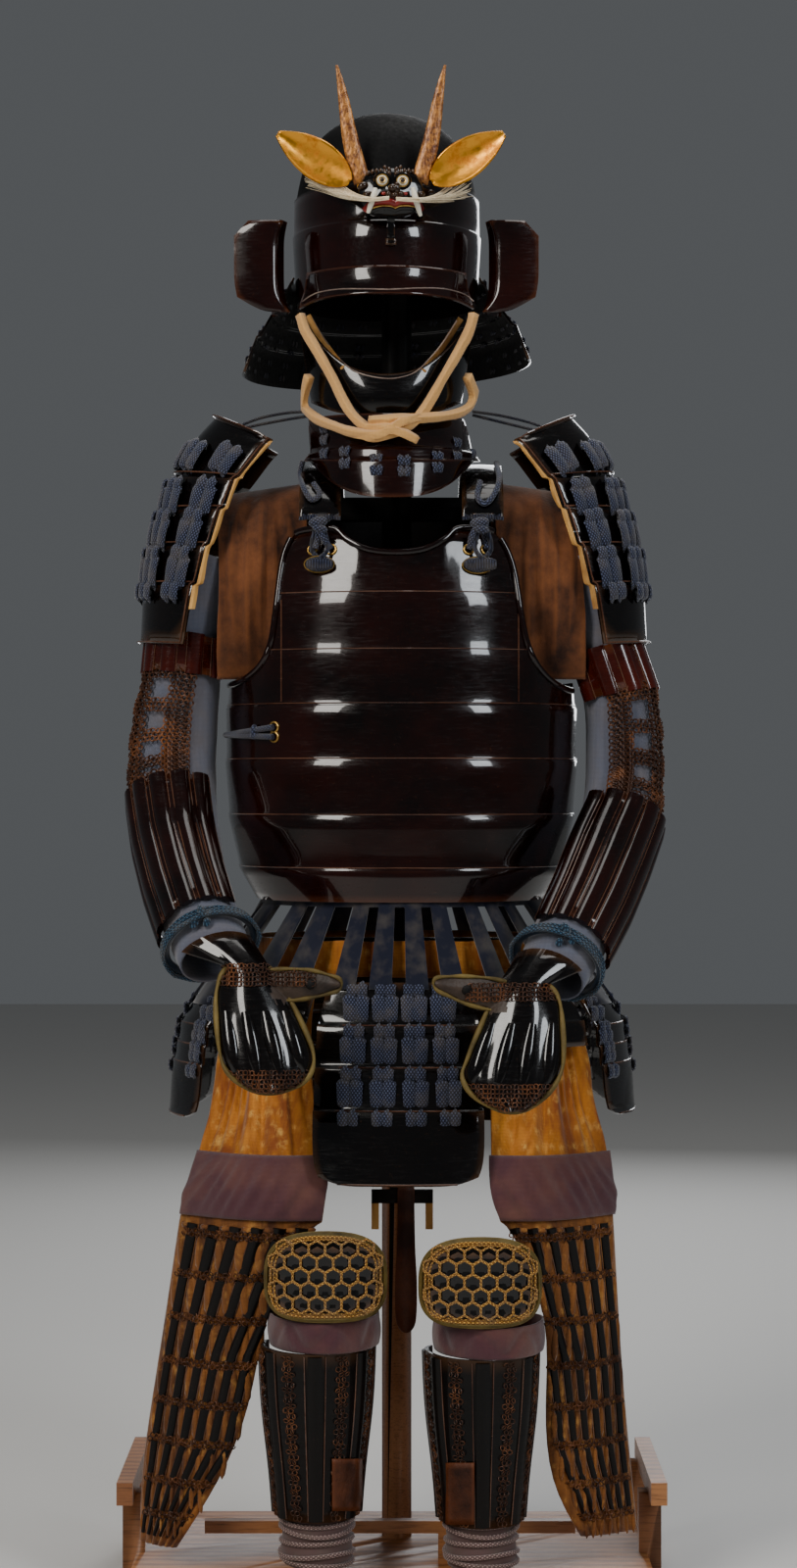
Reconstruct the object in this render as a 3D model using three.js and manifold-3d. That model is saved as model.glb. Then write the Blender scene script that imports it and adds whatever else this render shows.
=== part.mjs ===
// A suit of samurai armour, set up on a low wooden stand with its arms bent, the hands resting on the thighs.
// Millimetres, +Z up. The suit faces -Y, so +X is on a viewer's right. The stand's underside is z = 0.
import * as THREE from "three";
import { mergeVertices } from "three/addons/utils/BufferGeometryUtils.js";
import Module from "manifold-3d";

const wasm = await Module();
wasm.setup();

// Clearance between neighbouring pieces, and the thickness of each kind of wall.
const GAP = 0.3;
const PLATE = 2.5;
const CLOTH = 2;
const BOWL = 3;
const DEG = Math.PI / 180;

// Middle planes of the head, the body and the hips.
const HEAD_X = -6;
const BODY_X = 10;
const HIP_X = 11;

// Moves the whole suit so that the middle of its box stands over the origin.
const SHIFT_X = -0.35;
const SHIFT_Y = 59.05;

// Rows of numbers as objects with named columns.
const table = (columns, rows) =>
  rows.map((row) => Object.fromEntries(columns.map((name, i) => [name, row[i]])));

const mix = (a, b, t) => a + (b - a) * t;

// The row at a value of one column, between the two rows beside it.
function rowAt(rows, column, value) {
  const way = Math.sign(rows[rows.length - 1][column] - rows[0][column]);
  let i = 1;
  while (i < rows.length - 1 && (value - rows[i][column]) * way > 0) i += 1;
  const [low, high] = [rows[i - 1], rows[i]];
  const t = Math.min(1, Math.max(0, (value - low[column]) / (high[column] - low[column])));
  return Object.fromEntries(Object.keys(low).map((key) => [key, mix(low[key], high[key], t)]));
}

// A patch of points and faces, nu by nv cells, facing away from an inner point.
// Cells may be left out. point(u, v, i, j) has u and v from 0 to 1.
function patch(nu, nv, point, { closed = false, keep = () => true, away = [HIP_X, 20] } = {}) {
  const columns = closed ? nu : nu + 1;
  const points = [];
  for (let j = 0; j <= nv; j += 1)
    for (let i = 0; i < columns; i += 1) points.push(point(i / nu, j / nv, i, j));
  const faces = [];
  const at = (i, j) => j * columns + (i % columns);
  for (let j = 0; j < nv; j += 1)
    for (let i = 0; i < nu; i += 1) {
      if (!keep(i, j)) continue;
      const [a, b, c, d] = [at(i, j), at(i + 1, j), at(i + 1, j + 1), at(i, j + 1)];
      if ((i + j) % 2) faces.push([a, b, c], [a, c, d]);
      else faces.push([a, b, d], [b, c, d]);
    }
  return facing({ points, faces }, away);
}

// Turns a patch's faces round where they look towards the inner point.
function facing(sheet, away) {
  const middle = new THREE.Vector3(away[0], away[1], 0);
  let side = 0;
  for (const [a, b, c] of sheet.faces) {
    const [p, q, r] = [sheet.points[a], sheet.points[b], sheet.points[c]];
    const normal = q.clone().sub(p).cross(r.clone().sub(p));
    middle.z = away.length > 2 ? away[2] : p.z;
    side += normal.dot(p.clone().sub(middle));
  }
  if (side < 0) sheet.faces = sheet.faces.map(([a, b, c]) => [a, c, b]);
  return sheet;
}

function normalsOf({ points, faces }) {
  const normals = points.map(() => new THREE.Vector3());
  for (const [a, b, c] of faces) {
    const [p, q, r] = [points[a], points[b], points[c]];
    const normal = q.clone().sub(p).cross(r.clone().sub(p)).normalize();
    for (const [k, from, to] of [[a, q, r], [b, r, p], [c, p, q]]) {
      const corner = from.clone().sub(points[k]).angleTo(to.clone().sub(points[k]));
      normals[k].addScaledVector(normal, corner);
    }
  }
  return normals.map((n) => n.normalize());
}

// A closed wall: the patch outside, a plain copy of its base moved in, and a strip on every free edge.
function wall(sheet, thickness, base = sheet) {
  const normals = normalsOf({ points: base.points, faces: sheet.faces });
  const n = sheet.points.length;
  const inner = base.points.map((p, i) => p.clone().addScaledVector(normals[i], -thickness));
  const faces = [...sheet.faces, ...sheet.faces.map(([a, b, c]) => [a + n, c + n, b + n])];
  const halves = new Set(sheet.faces.flatMap(([a, b, c]) => [`${a},${b}`, `${b},${c}`, `${c},${a}`]));
  for (const half of halves) {
    const [a, b] = half.split(",").map(Number);
    if (halves.has(`${b},${a}`)) continue;
    faces.push([b, a, a + n], [b, a + n, b + n]);
  }
  return geometryFrom([...sheet.points, ...inner], faces);
}

function geometryFrom(points, faces) {
  const used = [...new Set(faces.flat())];
  const place = new Map(used.map((k, i) => [k, i]));
  const geometry = new THREE.BufferGeometry();
  const flat = used.flatMap((k) => points[k].toArray());
  geometry.setAttribute("position", new THREE.Float32BufferAttribute(flat, 3));
  geometry.setIndex(faces.flat().map((k) => place.get(k)));
  return geometry;
}

// A solid through rings that have the same number of corners, closed by fans at both ends.
function loft(rings) {
  const sides = rings[0].length;
  const faces = [];
  for (let j = 0; j < rings.length - 1; j += 1)
    for (let i = 0; i < sides; i += 1) {
      const [a, b] = [j * sides + i, j * sides + ((i + 1) % sides)];
      faces.push([a, b, b + sides], [a, b + sides, a + sides]);
    }
  const last = (rings.length - 1) * sides;
  for (let i = 1; i < sides - 1; i += 1)
    faces.push([0, i + 1, i], [last, last + i, last + i + 1]);
  return outward(geometryFrom(rings.flat(), faces));
}

function volumeOf(geometry) {
  const [position, index] = [geometry.getAttribute("position"), geometry.index.array];
  const [a, b, c] = [new THREE.Vector3(), new THREE.Vector3(), new THREE.Vector3()];
  let sum = 0;
  for (let i = 0; i < index.length; i += 3) {
    a.fromBufferAttribute(position, index[i]);
    b.fromBufferAttribute(position, index[i + 1]);
    c.fromBufferAttribute(position, index[i + 2]);
    sum += a.dot(b.cross(c)) / 6;
  }
  return sum;
}

function outward(geometry) {
  if (volumeOf(geometry) > 0) return geometry;
  const index = geometry.index.array;
  for (let i = 0; i < index.length; i += 3) [index[i + 1], index[i + 2]] = [index[i + 2], index[i + 1]];
  return geometry;
}

// A round or flattened rod along points with x, y, z and r; flat scales its depth.
function rod(path, sides = 6, { closed = false, flat = 1, turn = 0 } = {}) {
  const points = path.map((p) => new THREE.Vector3(p.x, p.y, p.z));
  const count = points.length;
  let up = new THREE.Vector3(0, 1, 0);
  const rings = points.map((p, i) => {
    const before = points[closed ? (i + count - 1) % count : Math.max(0, i - 1)];
    const after = points[closed ? (i + 1) % count : Math.min(count - 1, i + 1)];
    const along = after.clone().sub(before).normalize();
    const across = along.clone().cross(up).normalize();
    up = across.clone().cross(along).normalize();
    return Array.from({ length: sides }, (_, k) => {
      const angle = (k / sides) * 2 * Math.PI + turn;
      return p
        .clone()
        .addScaledVector(across, path[i].r * Math.cos(angle))
        .addScaledVector(up, path[i].r * flat * Math.sin(angle));
    });
  });
  if (!closed) return loft(rings);
  return outward(closedLoft(rings));
}

// A ring-shaped solid: the last ring joins the first at the corners that lie nearest.
function closedLoft(rings) {
  const sides = rings[0].length;
  const count = rings.length;
  const last = rings[count - 1];
  const shiftBy = (k) => last.reduce((sum, p, i) => sum + p.distanceTo(rings[0][(i + k) % sides]), 0);
  const shifts = Array.from({ length: sides }, (_, k) => shiftBy(k));
  const shift = shifts.indexOf(Math.min(...shifts));
  const faces = [];
  for (let j = 0; j < count; j += 1)
    for (let i = 0; i < sides; i += 1) {
      const k = (i + 1) % sides;
      const turn = j === count - 1 ? shift : 0;
      const next = ((j + 1) % count) * sides;
      const [a, b] = [j * sides + i, j * sides + k];
      const [c, d] = [next + ((k + turn) % sides), next + ((i + turn) % sides)];
      faces.push([a, b, c], [a, c, d]);
    }
  return geometryFrom(rings.flat(), faces);
}

// Cuts and joins.
function solid(geometry) {
  const bare = geometry.clone();
  bare.deleteAttribute("normal");
  bare.deleteAttribute("uv");
  const merged = mergeVertices(bare, 1e-4);
  const vertProperties = merged.getAttribute("position").array;
  return new wasm.Manifold(
    new wasm.Mesh({ numProp: 3, vertProperties, triVerts: new Uint32Array(merged.index.array) }),
  );
}

function geometryOf(body) {
  const mesh = body.getMesh();
  const geometry = new THREE.BufferGeometry();
  const position = new Float32Array(mesh.vertProperties);
  geometry.setAttribute("position", new THREE.BufferAttribute(position, 3));
  geometry.setIndex(Array.from(mesh.triVerts));
  return geometry;
}

const join = (...pieces) => geometryOf(pieces.map(solid).reduce((sum, next) => sum.add(next)));
const cut = (piece, ...cutters) =>
  geometryOf(cutters.map(solid).reduce((rest, next) => rest.subtract(next), solid(piece)));
const trim = (piece, keeper) => geometryOf(solid(piece).intersect(solid(keeper)));

// An outline in X and Z, drawn out along Y.
function prism(outline, fromY, toY) {
  const shape = new THREE.Shape(outline.map(([x, z]) => new THREE.Vector2(x, z)));
  const geometry = new THREE.ExtrudeGeometry(shape, { depth: toY - fromY, bevelEnabled: false });
  return geometry.rotateX(Math.PI / 2).translate(0, toY, 0);
}

const box = (x, y, z, wide, deep, high) =>
  new THREE.BoxGeometry(wide, deep, high).translate(x, y, z + high / 2);

const post = (x, y, z, radius, high, sides = 20, top = radius) =>
  new THREE.CylinderGeometry(top, radius, high, sides).rotateX(Math.PI / 2).translate(x, y, z + high / 2);

// Points of a smooth curve through a short list.
function smooth(list, count, closed = false) {
  const curve = new THREE.CatmullRomCurve3(
    list.map(([x, y, z]) => new THREE.Vector3(x, y, z)),
    closed,
  );
  return curve.getPoints(count).slice(0, closed ? count : count + 1);
}

const rodThrough = (list, count, r, sides = 6) =>
  rod(smooth(list, count).map(({ x, y, z }) => ({ x, y, z, r })), sides);

// A point on a rounded level section: half wide, front and back deep, power 2 for an ellipse.
function sectionPoint({ half, front, back }, angle, z, out, centreX, centreY = 0, power = 2) {
  const [c, s] = [Math.cos(angle), Math.sin(angle)];
  const k = (Math.abs(c) ** power + Math.abs(s) ** power) ** (-1 / power);
  const deep = s < 0 ? front : back;
  return new THREE.Vector3(centreX + (half + out) * c * k, centreY + (deep + out) * s * k, z);
}

// The rows of a stack of lames, from the bottom up. Each lame starts one step outside the one above it.
function lameRows(edges, step, lip = 2) {
  const rows = [];
  for (let i = 0; i < edges.length - 1; i += 1) {
    const from = i * step;
    rows.push({ z: edges[i] - (i ? lip : 0), out: from });
    rows.push({ z: edges[i + 1], out: from + step * 0.3 });
  }
  return rows.reverse();
}

const FINISH = {
  lacquer: [0x140806, 0.18, 0.1],
  matt: [0x0c0b0b, 0.6, 0.1],
  lacing: [0x2d3750, 0.9, 0],
  rope: [0xd6a86e, 0.9, 0],
  gold: [0xd6963a, 0.35, 0.8],
  horn: [0x9a6030, 0.5, 0.2],
  brocade: [0xbe7832, 0.8, 0],
  suede: [0x96501e, 0.95, 0],
  band: [0x4b2332, 0.8, 0],
  sleeve: [0x3c4155, 0.95, 0],
  leather: [0x8a4f24, 0.7, 0],
  hair: [0xe8dcc0, 0.8, 0],
  wood: [0x78502d, 0.6, 0],
};

const suit = new THREE.Group();
suit.position.set(SHIFT_X, SHIFT_Y, 0);

function add(name, geometry, finish) {
  const [color, roughness, metalness] = FINISH[finish];
  const material = new THREE.MeshStandardMaterial({ color, roughness, metalness });
  const mesh = new THREE.Mesh(geometry, material);
  mesh.name = name;
  suit.add(mesh);
}

const SIDES = [
  { word: "left", sign: -1 },
  { word: "right", sign: 1 },
];

// Helmet bowl: half widths by height. It is a fifth deeper than wide.
const BOWL_ROWS = table(
  ["z", "half"],
  [
    [1376, 100],
    [1449, 104.5],
    [1451, 103],
    [1489, 102.5],
    [1491, 100],
    [1520, 95],
    [1548, 83],
    [1569, 62],
    [1581, 34],
  ],
);
const BOWL_TOP = 1585;
const BOWL_DEEP = 1.2;
const BOWL_COLUMNS = 20;

function bowlPoint(angle, z, out) {
  const { half } = rowAt(BOWL_ROWS, "z", z);
  const row = { half, front: half * BOWL_DEEP, back: half * BOWL_DEEP };
  return sectionPoint(row, angle, z, out, HEAD_X);
}

function helmetBowl() {
  const last = BOWL_ROWS.length - 1;
  const sheet = patch(
    BOWL_COLUMNS,
    last,
    (u, v, i, j) => bowlPoint(u * 2 * Math.PI, BOWL_ROWS[j].z, 0),
    { closed: true, away: [HEAD_X, 0] },
  );
  const top = sheet.points.push(new THREE.Vector3(HEAD_X, 0, BOWL_TOP)) - 1;
  const ring = last * BOWL_COLUMNS;
  for (let i = 0; i < BOWL_COLUMNS; i += 1)
    sheet.faces.push([ring + i, ring + ((i + 1) % BOWL_COLUMNS), top]);
  return wall(sheet, BOWL);
}

// What lies on the bowl has its inner face one gap off it.
const BOWL_GAP = PLATE + GAP;

// The peak over the brow, from the bowl's rim outwards and down.
const PEAK_HALF_ANGLE = 55 * DEG;
const PEAK_ROWS = table(
  ["z", "out", "droop"],
  [
    [1371, 15, 8],
    [1379, 10, 5],
    [1390, 4.5, 2],
    [1402, BOWL_GAP, 0],
  ],
);

const peak = patch(
  12,
  PEAK_ROWS.length - 1,
  (u, v, i, j) => {
    const { z, out, droop } = PEAK_ROWS[j];
    const turn = (2 * u - 1) * PEAK_HALF_ANGLE;
    const fall = droop * Math.abs(2 * u - 1) ** 4;
    const point = bowlPoint(-Math.PI / 2 + turn, z, out);
    point.z -= fall;
    return point;
  },
  { away: [HEAD_X, 0] },
);

// Neck guard: three flaring lames round the back, one side a little higher than the other.
const NECK_ROWS = table(
  ["z", "out"],
  [
    [1308, 59],
    [1345, 45],
    [1347, 41],
    [1366, 29],
    [1368, 25],
    [1404, BOWL_GAP],
  ],
);
const NECK_LEAN = 0.045;
const NECK_END = 14 * DEG;

function neckPoint(angle, z, out) {
  const point = bowlPoint(angle, Math.max(z, BOWL_ROWS[0].z), out);
  const low = Math.min(1, (NECK_ROWS[5].z - z) / 60);
  point.z = z + NECK_LEAN * (point.x - HEAD_X) * low;
  return point;
}

function neckGuard() {
  const sheet = patch(
    16,
    NECK_ROWS.length - 1,
    (u, v, i, j) => {
      const angle = mix(-NECK_END, Math.PI + NECK_END, u);
      return neckPoint(angle, NECK_ROWS[j].z, NECK_ROWS[j].out);
    },
    { away: [HEAD_X, 0] },
  );
  return wall(sheet, PLATE);
}

// Turned-back wings at the front ends of the top lame: a curved plate, cut to a rounded outline.
const WING = { inner: 102, outer: 163, low: 1360, high: 1458, y: -72, corner: 15, deepCorner: 30 };

function wing(sign) {
  const { inner, outer, low, high, y, corner, deepCorner } = WING;
  const path = [
    [inner + 20, -36.2],
    [inner + 8, y + 10],
    [inner + 16, y - 2],
    [mix(inner, outer, 0.6), y - 5],
    [outer, y],
  ];
  const rows = 6;
  const sheet = patch(
    path.length - 1,
    rows,
    (u, v, i) => {
      const [x, at] = path[i];
      const fromLow = v * (high - low);
      const fromHigh = (1 - v) * (high - low);
      const round = (distance, r) => (distance < r ? r - Math.sqrt(r * r - (r - distance) ** 2) : 0);
      const inset = (round(fromLow, deepCorner) + round(fromHigh, corner)) * u;
      return new THREE.Vector3(HEAD_X + sign * (x - inset), at, low + fromLow);
    },
    { away: [HEAD_X, 200] },
  );
  return wall(sheet, PLATE);
}

// Crest: a beast's face on a bracket, two horns, two cupped ears and whiskers.
const CREST_Z = 1476;
const CREST_X = -1;
const CREST_BACK = -134;
const FACE = { half: 34, up: 26, down: 27, deep: 22 };

// Height of the face above its back, over -1 to 1 across and up.
function faceRelief(a, b) {
  const dome = Math.sqrt(Math.max(0, 1 - 0.8 * (a * a + b * b)));
  const bump = (x, z, r, high) => high * Math.exp(-(((a - x) ** 2 + (b - z) ** 2) / (r * r)));
  const both = (x, z, r, high) => bump(x, z, r, high) + bump(-x, z, r, high);
  return 0.62 * dome + both(0.3, 0.35, 0.17, 0.3) + bump(0, -0.1, 0.24, 0.35) + both(0.4, -0.35, 0.2, 0.14);
}

function beastFace() {
  const [columns, rows] = [10, 8];
  const rim = (u, v) => {
    const [a, b] = [2 * u - 1, 2 * v - 1];
    return [a * Math.sqrt(1 - (b * b) / 2.6), b * Math.sqrt(1 - (a * a) / 2.6)];
  };
  const point = (u, v, deep) => {
    const [a, b] = rim(u, v);
    const z = CREST_Z + b * (b > 0 ? FACE.up : FACE.down);
    return new THREE.Vector3(CREST_X + a * FACE.half, CREST_BACK - deep, z);
  };
  const front = patch(
    columns,
    rows,
    (u, v) => point(u, v, 3 + FACE.deep * faceRelief(...rim(u, v))),
    { away: [CREST_X, 200] },
  );
  const back = { points: front.points.map((p) => new THREE.Vector3(p.x, CREST_BACK + 1, p.z)) };
  const plate = wall(front, 1, { ...back, faces: front.faces });
  const bracket = box(CREST_X, -129.3, 1422, 8, 7, 60);
  const foot = box(CREST_X, -130.3, 1422, 11, 9, 6);
  return join(plate, bracket, foot);
}

const HORN_ROWS = table(
  ["x", "y", "z", "r"],
  [
    [30, -128, 1488, 9],
    [37, -128.5, 1510, 9.5],
    [43, -129, 1533, 8.6],
    [47, -130, 1558, 7],
    [51, -131, 1584, 5],
    [57, -133, 1611, 1.2],
  ],
);
const HORN_FLAT = 0.36;

function horn(sign) {
  const path = HORN_ROWS.map(({ x, y, z, r }) => ({ x: CREST_X + sign * x, y, z, r }));
  return rod(path, 8, { flat: HORN_FLAT });
}

const EAR = { fromX: 41.6, fromZ: 1487, toX: 120, toZ: 1539, half: 19, cup: 9, y: -133 };

function ear(sign) {
  const along = new THREE.Vector2(EAR.toX - EAR.fromX, EAR.toZ - EAR.fromZ);
  const across = new THREE.Vector2(-along.y, along.x).normalize();
  const sheet = patch(
    4,
    7,
    (u, v) => {
      const t = mix(0.02, 0.985, v);
      const wide = EAR.half * Math.sin(Math.PI * t ** 0.8) ** 0.75 + 1.5;
      const s = 2 * u - 1;
      const x = EAR.fromX + along.x * t + across.x * wide * s;
      const z = EAR.fromZ + along.y * t + across.y * wide * s;
      const y = EAR.y - EAR.cup * (s * s - 0.6) * Math.sin(Math.PI * t) - 4 * t;
      return new THREE.Vector3(CREST_X + sign * x, y, z);
    },
    { away: [CREST_X, 200] },
  );
  return wall(sheet, CLOTH);
}

const WHISKERS = { strands: 6, x: 12, y: -156.2, z: 1465, length: 76, thick: 0.9 };

function whiskers(sign) {
  const { strands, x, y, z, length, thick } = WHISKERS;
  const root = box(CREST_X + sign * x, y, z - 4, 5, 5, 8);
  const hairs = Array.from({ length: strands }, (_, k) => {
    const spread = (k / (strands - 1)) * 2 - 1;
    const lift = (24 + 17 * spread) * DEG;
    const reach = length * (1 - 0.22 * Math.abs(spread));
    const path = [0, 0.5, 1].map((t) => ({
      x: CREST_X + sign * (x + reach * t * Math.cos(lift)),
      y: y - 1.5 - 7 * t + 1.6 * (k % 2),
      z: z + spread * 3 + reach * t * Math.sin(lift) - 9 * t * t,
      r: thick * (1 - 0.6 * t),
    }));
    return rod(path, 3);
  });
  return join(root, ...hairs);
}

// Cheek and chin guard, and the throat guard that hangs from it: rounded front halves about NECK_Y.
const NECK_Y = -40;
const CHIN = { half: 82, deep: 72, low: 1244, sideLow: 1266 };
const CHEEK = { half: 97, deep: 74, middle: 1288, rise: 76 };

function faceGuard() {
  const sheet = patch(
    12,
    4,
    (u, v) => {
      const angle = mix(-172 * DEG, -8 * DEG, u);
      const [c, s] = [Math.cos(angle), Math.sin(angle)];
      const low = mix(CHIN.low, CHIN.sideLow, Math.abs(c) ** 3);
      const high = CHEEK.middle + CHEEK.rise * Math.abs(c) ** 2.4;
      const jut = 5 * Math.sin(Math.PI * v) * Math.max(0, -s) ** 3;
      const half = mix(CHIN.half, CHEEK.half, v);
      const deep = mix(CHIN.deep, CHEEK.deep, v) + jut;
      return new THREE.Vector3(HEAD_X + half * c, NECK_Y + deep * s, mix(low, high, v));
    },
    { away: [HEAD_X, 20] },
  );
  return wall(sheet, PLATE);
}

const THROAT_ROWS = table(
  ["z", "half", "deep", "rise"],
  [
    [1155, 90, 110, 50],
    [1176, 93, 108, 30],
    [1195, 95.5, 105, 8],
    [1197, 92.5, 102, 6],
    [1209, 92, 98, 0],
    [1211, 89, 95, 0],
    [1232, 88, 86, 0],
    [1247, CHIN.half + PLATE + GAP + 0.6, CHIN.deep + PLATE + GAP + 0.6, 0],
  ],
);

function throatGuard() {
  const sheet = patch(
    12,
    THROAT_ROWS.length - 1,
    (u, v, i, j) => {
      const { z, half, deep, rise } = THROAT_ROWS[j];
      const angle = mix(-168 * DEG, -12 * DEG, u);
      const c = Math.cos(angle);
      const lift = rise * Math.abs(c) ** 3;
      const x = HEAD_X + 6 * Math.min(1, (1247 - z) / 40) + half * c;
      return new THREE.Vector3(x, NECK_Y + deep * Math.sin(angle), z + lift);
    },
    { away: [HEAD_X, 20] },
  );
  return wall(sheet, PLATE);
}

// Chin rope: each point is given by x and z, and lies one radius off the guards behind it.
const ROPE_RADIUS = 5.7;
const ROPE_SEAT = table(
  ["z", "half", "deep"],
  [
    [1190, 97, 106],
    [1211, 95, 101],
    [1232, 89, 90],
    [1247, 88, 80],
    [1297, 94, 80],
    [1365, 101, 79],
  ],
);

function ropePoints(list) {
  return list.map(([x, z, lift = 0]) => {
    const seat = rowAt(ROPE_SEAT, "z", z);
    const out = ROPE_RADIUS + 1.5 + lift;
    const across = Math.min(0.995, Math.abs(x - HEAD_X - 3) / (seat.half + out));
    return [x, NECK_Y - (seat.deep + out) * Math.sqrt(1 - across * across), z];
  });
}

const ROPE_RUNS = [
  [
    [-98, 1356], [-92, 1334], [-73, 1306], [-55, 1268], [-43, 1243], [-26, 1229],
    [-6, 1229, 9], [14, 1222, 6], [27, 1216],
  ],
  [
    [87, 1356], [83, 1336], [66, 1306], [47, 1272], [33, 1247], [18, 1231],
    [-2, 1221], [-20, 1217], [-30, 1222],
  ],
  [
    [-88, 1290], [-94, 1270], [-93, 1254], [-74, 1240], [-50, 1228],
    [-19, 1218, 4], [8, 1234, 12], [28, 1241, 3],
  ],
  [[80, 1290], [88, 1272], [84, 1256], [62, 1246], [40, 1241], [22, 1240, 4], [0, 1237, 10], [-24, 1236, 6]],
];

const chinRope = () =>
  join(...ROPE_RUNS.map((run) => rodThrough(ropePoints(run), 8, ROPE_RADIUS, 4)));

// Body armour: seven level lames, with the lower one of each pair standing out.
const BODY_ROWS = table(
  ["z", "half", "front", "back"],
  [
    [1190, 146, 104, 116],
    [1127, 160, 126, 126],
    [1057, 174, 146, 134],
    [997, 183, 152, 140],
    [940, 189, 156, 142],
    [882, 190, 158, 140],
    [823, 187, 158, 136],
    [767, 176, 156, 131],
    [731, 158, 153, 127],
  ],
);
const BODY_SEAMS = [1190, 1057, 997, 940, 882, 823, 767, 731];
const BODY_STEP = 2.4;
const BODY_POWER = 2.3;
const BODY_COLUMNS = 12;

const bodyPoint = (angle, z, out) =>
  sectionPoint(rowAt(BODY_ROWS, "z", z), angle, z, out, BODY_X, 0, BODY_POWER);

// From the bottom up: each lame leans in towards its lower edge and starts a step out at its top.
function bodyRows() {
  const rows = [];
  for (let i = 0; i < BODY_SEAMS.length - 1; i += 1) {
    rows.push({ z: BODY_SEAMS[i] - (i ? 3 : 0), out: i ? BODY_STEP : 0 });
    if (i === 0) rows.push({ z: 1127, out: 0 });
    rows.push({ z: BODY_SEAMS[i + 1], out: 0 });
  }
  return rows.reverse();
}

function bodyHalf(fromAngle, toAngle, outline, fromY, toY) {
  const rows = bodyRows();
  const sheet = patch(
    BODY_COLUMNS,
    rows.length - 1,
    (u, v, i, j) => bodyPoint(mix(fromAngle, toAngle, u), rows[j].z, rows[j].out),
    { away: [BODY_X, 0] },
  );
  return trim(wall(sheet, PLATE), prism(outline, fromY, toY));
}

const FRONT_OUTLINE = [
  [-230, 700],
  [-230, 962],
  [-182, 964],
  [-160, 968],
  [-141, 982],
  [-130, 1004],
  [-125, 1036],
  [-119, 1085],
  [-112, 1110],
  [-99, 1125],
  [-61, 1127],
  [-46, 1115],
  [-24, 1104],
  [5, 1101],
  [32, 1104],
  [54, 1115],
  [69, 1127],
  [104, 1126],
  [119, 1112],
  [131, 1082],
  [139, 1030],
  [147, 998],
  [160, 976],
  [180, 961],
  [204, 957],
  [240, 957],
  [240, 700],
];

const BACK_OUTLINE = [
  [-230, 700],
  [-230, 962],
  [-165, 966],
  [-138, 1000],
  [-130, 1060],
  [-126, 1120],
  [-104, 1168],
  [-58, 1172],
  [-30, 1158],
  [10, 1152],
  [50, 1158],
  [78, 1172],
  [124, 1168],
  [146, 1120],
  [150, 1060],
  [158, 1000],
  [185, 966],
  [240, 962],
  [240, 700],
];

// Half the width of the parting between the front and the back, as an angle.
const PARTING = 0.14 * DEG;

// Shoulder pieces: brown cloth arched over each shoulder, and the straps above it.
// Each row is a point of the arch from the front, over the top, to the back.
const ARCH = table(
  ["y", "z"],
  [
    [-58, 968],
    [-71, 1004],
    [-82, 1048],
    [-83, 1095],
    [-76, 1135],
    [-55, 1168],
    [-22, 1184],
    [12, 1184],
    [42, 1172],
    [64, 1140],
    [72, 1095],
    [70, 1040],
    [66, 985],
  ],
);
const ARCH_X = { inner: 100, outer: 198 };

function shoulderCloth(sign) {
  const sheet = patch(
    ARCH.length - 1,
    3,
    (u, v, i) => {
      const x = mix(ARCH_X.inner, ARCH_X.outer, v);
      const { y, z } = ARCH[i];
      const fall = Math.max(0, (1130 - z) / 170);
      const fold = 4 * Math.sin(v * 9 + i * 0.5) * fall;
      const slope = -14 * v * (1 - fall);
      return new THREE.Vector3(BODY_X + sign * x, y + Math.sign(y) * fold, z + slope);
    },
    { away: [BODY_X + sign * 140, -5, 1060] },
  );
  return wall(sheet, CLOTH);
}

const STRAP_X = { middle: 86, half: 22 };
const STRAP = table(
  ["y", "z"],
  [
    [-118, 1134],
    [-114, 1150],
    [-96, 1174],
    [-60, 1194],
    [-18, 1203],
    [30, 1200],
    [84, 1180],
    [112, 1174],
    [128, 1158],
    [130, 1142],
  ],
);

function shoulderStrap(sign) {
  const middle = BODY_X + sign * STRAP_X.middle;
  const sheet = patch(
    STRAP.length - 1,
    2,
    (u, v, i) => {
      const { y, z } = STRAP[i];
      const crown = 2 * (1 - (2 * v - 1) ** 2);
      return new THREE.Vector3(middle + STRAP_X.half * (2 * v - 1), y, z + crown);
    },
    { away: [middle, 0, 1060] },
  );
  const toggle = rod(
    [-11, 0, 11].map((x) => ({ x: middle + x, y: -121, z: 1137, r: 5 })),
    6,
  );
  const knot = rod([1138, 1130, 1122].map((z) => ({ x: middle, y: -123, z, r: 6 })), 6);
  const cords = [-9, 9].map((x) => {
    const eye = chestPoint(middle + x, 1101, 7);
    return rodThrough(
      [
        [middle + x * 0.3, -124, 1128],
        [middle + x * 0.8, eye.y, 1114],
        [eye.x, eye.y, 1101],
        [middle, eye.y - 4, 1092],
      ],
      5,
      2.6,
      4,
    );
  });
  const pad = chestPoint(middle, 1086, 9);
  const knobPath = [-14, -9, 9, 14].map((x, k) => ({
    x: middle + x,
    y: pad.y,
    z: 1086,
    r: k % 3 ? 7 : 4,
  }));
  const knob = rod(knobPath, 6, {
    flat: 0.45,
  });
  return join(wall(sheet, PLATE), toggle, knot, ...cords, knob);
}

// The chest's outer surface at x and z, moved out.
function chestPoint(x, z, out) {
  const row = rowAt(BODY_ROWS, "z", z);
  const across = Math.min(1, Math.abs(x - BODY_X) / (row.half + out));
  const deep = (row.front + out) * (1 - across ** BODY_POWER) ** (1 / BODY_POWER);
  return new THREE.Vector3(x, -deep, z);
}

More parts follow.
